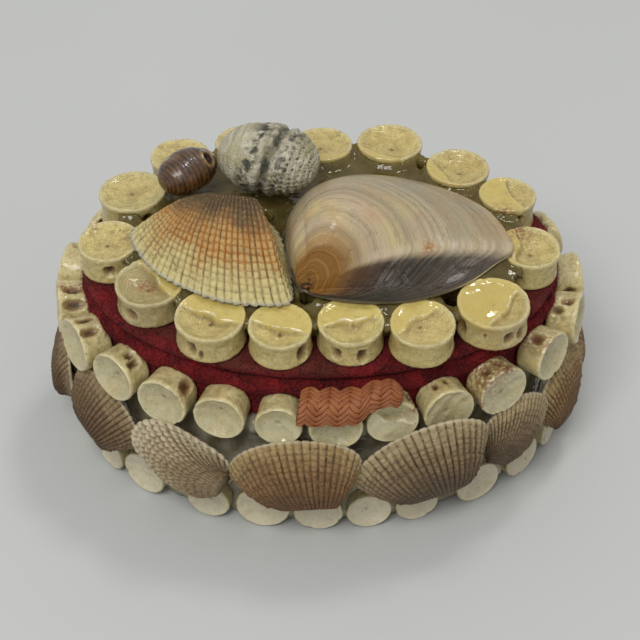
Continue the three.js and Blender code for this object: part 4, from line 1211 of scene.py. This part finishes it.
def beyond_margin(shape, x, y):
    """How far a point lies outside a valve's margin, 0 inside it."""
    edge = closed_curve(shape["margin"], 160)
    away = np.min(np.hypot(x[..., None] - edge[:, 0], y[..., None] - edge[:, 1]), axis=-1)
    before = np.roll(edge, 1, axis=0)
    crosses = (edge[:, 1] > y[..., None]) != (before[:, 1] > y[..., None])
    level_x = before[:, 0] + (y[..., None] - before[:, 1]) * (edge[:, 0] - before[:, 0]) / (
        edge[:, 1] - before[:, 1])
    within = np.sum(crosses & (x[..., None] < level_x), axis=-1) % 2 == 1
    return np.where(within, 0, away)


# Where the poured glue left holes: x, y, radius.
GLUE_HOLES = [(-2.7, -22.4, 1.9), (1.6, -22.6, 1.5), (-13.0, 6.2, 2.2), (30, -21.5, 3.2),
              (-40.5, 6.5, 1.5), (24.5, 25.0, 1.3), (-7.6, -7, 1.6)]


def lid_glue(material):
    """The pool of glue on the lid: it climbs the vertebrae and shells that stand in it, ends in
    thin webs between the vertebrae, and has a few holes."""
    step = 0.66
    x, y = np.meshgrid(np.arange(-50, 50 + step, step), np.arange(-36, 36 + step, step), indexing="ij")
    height = BED["pool"] + 0.25 * wobble(21, 8, x, y) + 0.1 * wobble(22, 3, x, y)
    milky = 0.25 + 0.3 * wobble(25, 9, x, y)
    cut = np.zeros(x.shape, bool)
    for cx, cy, radius in LID_ROW:
        away = np.hypot(x - cx, y - cy) - radius
        height = np.maximum(height, BED["pool"] + 2.1 * np.exp(-np.maximum(away, 0) / 1.2))
        milky = np.maximum(milky, 0.7 * np.exp(-np.maximum(away, 0) / 0.7))
        cut |= away < -0.9
    for shape in (ARK, CLAM):
        away = beyond_margin(shape, x, y)
        height = np.maximum(height, 55.2 + 2.3 * np.exp(-away / 2.0))
    centres = np.array(LID_ROW)[:, :2]
    turns = np.arctan2(centres[:, 1], centres[:, 0])
    order = np.argsort(turns)
    ring = np.interp(np.arctan2(y, x), turns[order], np.hypot(*centres.T)[order],
                     period=2 * math.pi)
    edge = ring - 0.2 + 0.5 * wobble(23, 5, x, y) - np.hypot(x, y)
    inside = edge.copy()
    for hx, hy, radius in GLUE_HOLES:
        ragged = radius * (1 + 0.12 * wobble(24, 2, x, y))
        inside = np.minimum(inside, np.hypot(x - hx, y - hy) - ragged)
    milky = np.maximum(milky, np.exp(-((inside - 0.4) / 0.5) ** 2))
    web = 1 - smoothstep(edge, 0.5, 4.5)
    height = np.maximum(height, 56.2 * web)
    height = height - 1.2 * (1 - smoothstep(inside, -0.3, 0.9)) ** 2
    bottom = mix(BED["low"] + 0.15, height - 0.9, web)
    kept = (inside > -0.3) & ~cut
    body = field_body(x, y, height, bottom, kept, {"milky": np.clip(milky, 0, 1)})
    piece = make_piece("clear_glue_on_lid", body, material)
    belongs(piece, "glue", "lid_glue")


def wall_glue(material):
    """The glue that holds the rows to the wall, with webs between neighbouring vertebrae."""
    sectors, rows = 288, 44
    turn = np.linspace(0, 360, sectors, endpoint=False)
    height = np.linspace(0.3, 33.5, rows)
    radians = np.radians(turn)
    side = np.hypot(WALL["a"] * np.sin(radians), WALL["b"] * np.cos(radians))
    walked = np.concatenate([[0], np.cumsum((side[1:] + side[:-1]) / 2)]) * math.radians(turn[1])
    around = walked[-1] + side[0] * math.radians(turn[1])

    def gap_to(at):
        away = walked - np.interp(at % 360, turn, walked)
        return (away + around / 2) % around - around / 2

    milky = 0.45 + 0.8 * wobble(33, 6, walked[None], height[:, None])
    out = (0.9 + 0.35 * wobble(31, 9, walked[None], height[:, None])
           + 0.12 * wobble(32, 3, walked[None], height[:, None]))
    # Webs: the row they stand in, and their height, reach from the wall and half width.
    for front, back, z, reach, wide in ((LOWER_FRONT, LOWER_BACK, 4.8, 2.6, 1.4),
                                        (UPPER_FRONT, UPPER_BACK, 31.5, 3.6, 1.5)):
        behind = even_turns(back["from"], back["to"], back["count"])
        turns = sorted(t % 360 for t in [*(t for t, *_ in front), *behind])
        for i, (one, other) in enumerate(zip(turns, turns[1:] + [turns[0] + 360])):
            if i % 4 == 2:
                continue
            away = gap_to((one + other) / 2)
            web = np.exp(-(away / wide) ** 2)[None] * np.exp(-((height[:, None] - z) / 2.6) ** 2)
            out = out + reach * web
            milky = np.maximum(milky, web)
    outward = np.stack([np.cos(radians) / WALL["a"], np.sin(radians) / WALL["b"]], 1)
    outward /= np.linalg.norm(outward, axis=1)[:, None]
    foot = np.stack([WALL["a"] * np.cos(radians), WALL["b"] * np.sin(radians)], 1)
    ends = np.full((1, sectors), 0.05)
    rows += 2
    points = np.zeros((rows, sectors, 3))
    points[..., :2] = foot + outward * np.concatenate([ends, out, ends])[..., None]
    points[..., 2] = np.concatenate([height[:1], height, height[-1:]])[:, None]
    faces = ring_faces(rows + 1, sectors)
    faces = np.where(faces >= rows * sectors, faces - rows * sectors, faces)
    facts = {"milky": np.clip(np.concatenate([milky[:1], milky, milky[-1:]]), 0, 1).ravel()}
    body = (points.reshape(-1, 3), [faces], facts)
    belongs(make_piece("clear_glue_on_wall", body, material), "glue", "lower_row")


# ------------------------------------------------------------------ pull tab
def tab_surface(share, across, above):
    """A point of the tab: share along it, across from the lid edge down, above its underside."""
    profile = np.array([(TAB["inner"], 0.6), (mix(TAB["inner"], TAB["nose"], 0.6), 0.8),
                        (TAB["nose"] - 0.8, 0.3), (TAB["nose"], -1.6), (TAB["nose"] + 0.1, -3.6)])
    walked = np.concatenate([[0], np.cumsum(np.hypot(*np.diff(profile, axis=0).T))])
    fine = np.linspace(0, walked[-1], 60)
    out, up = (np.interp(fine, walked, profile[:, k]) for k in (0, 1))
    kernel = np.ones(9) / 9
    out, up = (np.convolve(np.pad(v, 4, mode="reflect", reflect_type="odd"), kernel, "valid")
               for v in (out, up))
    ends = np.minimum(np.clip((1 - share) / 0.14, 0, 1), np.clip(share / 0.05, 0, 1) * 0.5 + 0.5)
    across = 0.5 + (np.clip(across, 0, 1) - 0.5) * np.sqrt(1 - (1 - ends) ** 2)
    at = across * walked[-1]
    o, u = np.interp(at, fine, out), np.interp(at, fine, up)
    slope_o, slope_u = (np.interp(at, fine, np.gradient(v, fine)) for v in (out, up))
    reach = mix(1.0, 0.62, smoothstep(share, 0.5, 0.85))
    lift = 2.3 * smoothstep(share, 0.5, 0.8) - 1.2 * smoothstep(share, 0.82, 1)
    drawn = TAB["inner"] + (o - TAB["inner"]) * reach - slope_u * above
    x = mix(TAB["left"], TAB["right"], share) + (0.6 - 1.5 * across) * (1 - share)
    drop = np.where(u < 0, mix(u, u * 0.3, 1 - reach), u)
    bow = np.sqrt(1 - (0.55 * x / WALL["a"]) ** 2)
    return np.stack([x, -drawn * bow, TAB["top"] + lift + drop + slope_o * above], -1)


def pull_tab():
    """A strip of braid over the edge of the lid: woven flat, bent into place, on a backing."""
    material = braid_material()
    width, tall = TAB["right"] - TAB["left"], TAB["deep"]
    flat = bpy.data.objects.new("pull_tab_braid", bpy.data.meshes.new("pull_tab_braid"))
    bpy.context.scene.collection.objects.link(flat)
    columns, rows = 10, 8
    grown(flat, braid_tree(), Columns=columns, Rows=rows, Pitch=tall / rows * MM, Material=material,
          **{"Column Width": width / columns * MM, "Strand Length": 4.2 * MM, "Strand Width": 1.15 * MM,
             "Thickness": 0.95 * MM})
    mesh = flat.data
    spots = np.zeros(len(mesh.vertices) * 3, np.float32)
    mesh.vertices.foreach_get("co", spots)
    spots = spots.reshape(-1, 3) / MM
    share = np.clip(spots[:, 0] / width + 0.5, 0.005, 0.995)
    across = np.clip(spots[:, 1] / tall + 0.5, 0, 1)
    bent = tab_surface(share, across, 0.75 + spots[:, 2])
    mesh.vertices.foreach_set("co", ((bent + CENTRE) * MM).astype(np.float32).ravel())
    mesh.polygons.foreach_set("use_smooth", np.ones(len(mesh.polygons), bool))
    mesh.update()
    belongs(flat, "braid", "pull_tab")

    share, across = np.meshgrid(np.linspace(0, 1, 60), np.linspace(0, 1, 24), indexing="ij")
    round_edge = 0.3 * np.sqrt(np.clip(1 - (2 * across - 1) ** 8, 0, 1)) * np.sqrt(
        np.clip(1 - (2 * share - 1) ** 12, 0, 1))
    over = tab_surface(share, across, 0.35 + round_edge)
    under = tab_surface(share, across, 0.35 - round_edge)
    loops = np.concatenate([over, under[:, ::-1]], 1)
    # The backing shows only between the strands, painted dark brown as their shade.
    body = skin(loops, {"deep": 1.0, "thread": 0.0})
    belongs(make_piece("pull_tab_backing", body, material), "braid", "pull_tab")


# ---------------------------------------------------------------------- stage
def studio():
    """A wide pale floor in soft light from above, and the camera."""
    size = 6.0
    mesh = bpy.data.meshes.new("floor")
    corners = [(-size, -size, 0), (size, -size, 0), (size, size, 0), (-size, size, 0)]
    mesh.from_pydata(corners, [], [(0, 1, 2, 3)])
    floor = bpy.data.objects.new("floor", mesh)
    bpy.context.scene.collection.objects.link(floor)
    material, tree, shader, place = surface("matt_paper", Roughness=0.8)
    tree.links.new(layered(tree, "#C4C6C6", (cloud(tree, place, 160, 0.3, 0.7), "#BFC1C1")),
                   shader.inputs["Base Color"])
    mesh.materials.append(material)

    world = bpy.data.worlds.new("soft_room")
    bpy.context.scene.world = world
    world.use_nodes = True
    world.node_tree.nodes["Background"].inputs["Color"].default_value = colour("#FBFBFA")
    world.node_tree.nodes["Background"].inputs["Strength"].default_value = 0.52

    middle = Vector(CENTRE * MM) + Vector((0, 0, 0.03))
    for name, spot, size, power, tint in (
            ("window", (-0.28, -0.68, 1.1), 0.5, 8.0, "#FFFEFA"),
            ("ceiling", (0.3, 0.4, 1.2), 0.2, 2.8, "#FFFDF6")):
        light = bpy.data.lights.new(name, "AREA")
        light.shape, light.size, light.energy, light.color = "SQUARE", size, power, colour(tint)[:3]
        lamp = bpy.data.objects.new(name, light)
        lamp.location = spot
        lamp.rotation_euler = (middle - Vector(spot)).to_track_quat("-Z", "Y").to_euler()
        bpy.context.scene.collection.objects.link(lamp)

    camera = bpy.data.objects.new("camera", bpy.data.cameras.new("camera"))
    camera.data.lens, camera.data.sensor_width = 132.3, 36.0
    target = Vector(CENTRE * MM) + Vector((0, 0, 0.028))
    elevation, distance = math.radians(43.5), 0.56
    back = Vector((0, -math.cos(elevation), math.sin(elevation)))
    camera.location = target + back * distance
    camera.rotation_euler = (-back).to_track_quat("-Z", "Y").to_euler()
    bpy.context.scene.collection.objects.link(camera)
    bpy.context.scene.camera = camera
    bpy.context.scene.view_settings.view_transform = "Standard"


# ------------------------------------------------------------------- assembly
studio()
velvet_pieces()
lid_glue(glue_material("clear_glue_amber", deep="#75622E", milky="#A89858", clear=0.6))
wall_glue(glue_material("clear_glue_grey", deep="#8A8369", milky="#C8C2AC", clear=0.2))
lid_row(bone("fish_vertebra_glazed", face_tint="#DCCB84", side_tint="#D0C080",
             core_tint="#A08F5C", film_tint="#C4AF60", rings=0.6, glaze=0.25))
upper_row(bone("fish_vertebra_porous", face_tint="#C8C09C", side_tint="#E6D8A2",
               core_tint="#7E7C68", film_tint="#BDB590", rings=0.55, glaze=0.5))
lower_row(bone("fish_vertebra_bleached", face_tint="#D4CBB4", side_tint="#C6BA92",
               core_tint="#A59E86", film_tint="#CCC3AA", rings=0.5, glaze=0.5))
rib_growth = rib_tree()
side_arks(rib_growth)
lid_ark(rib_growth)
clam()
turban()
winkle()
pull_tab()
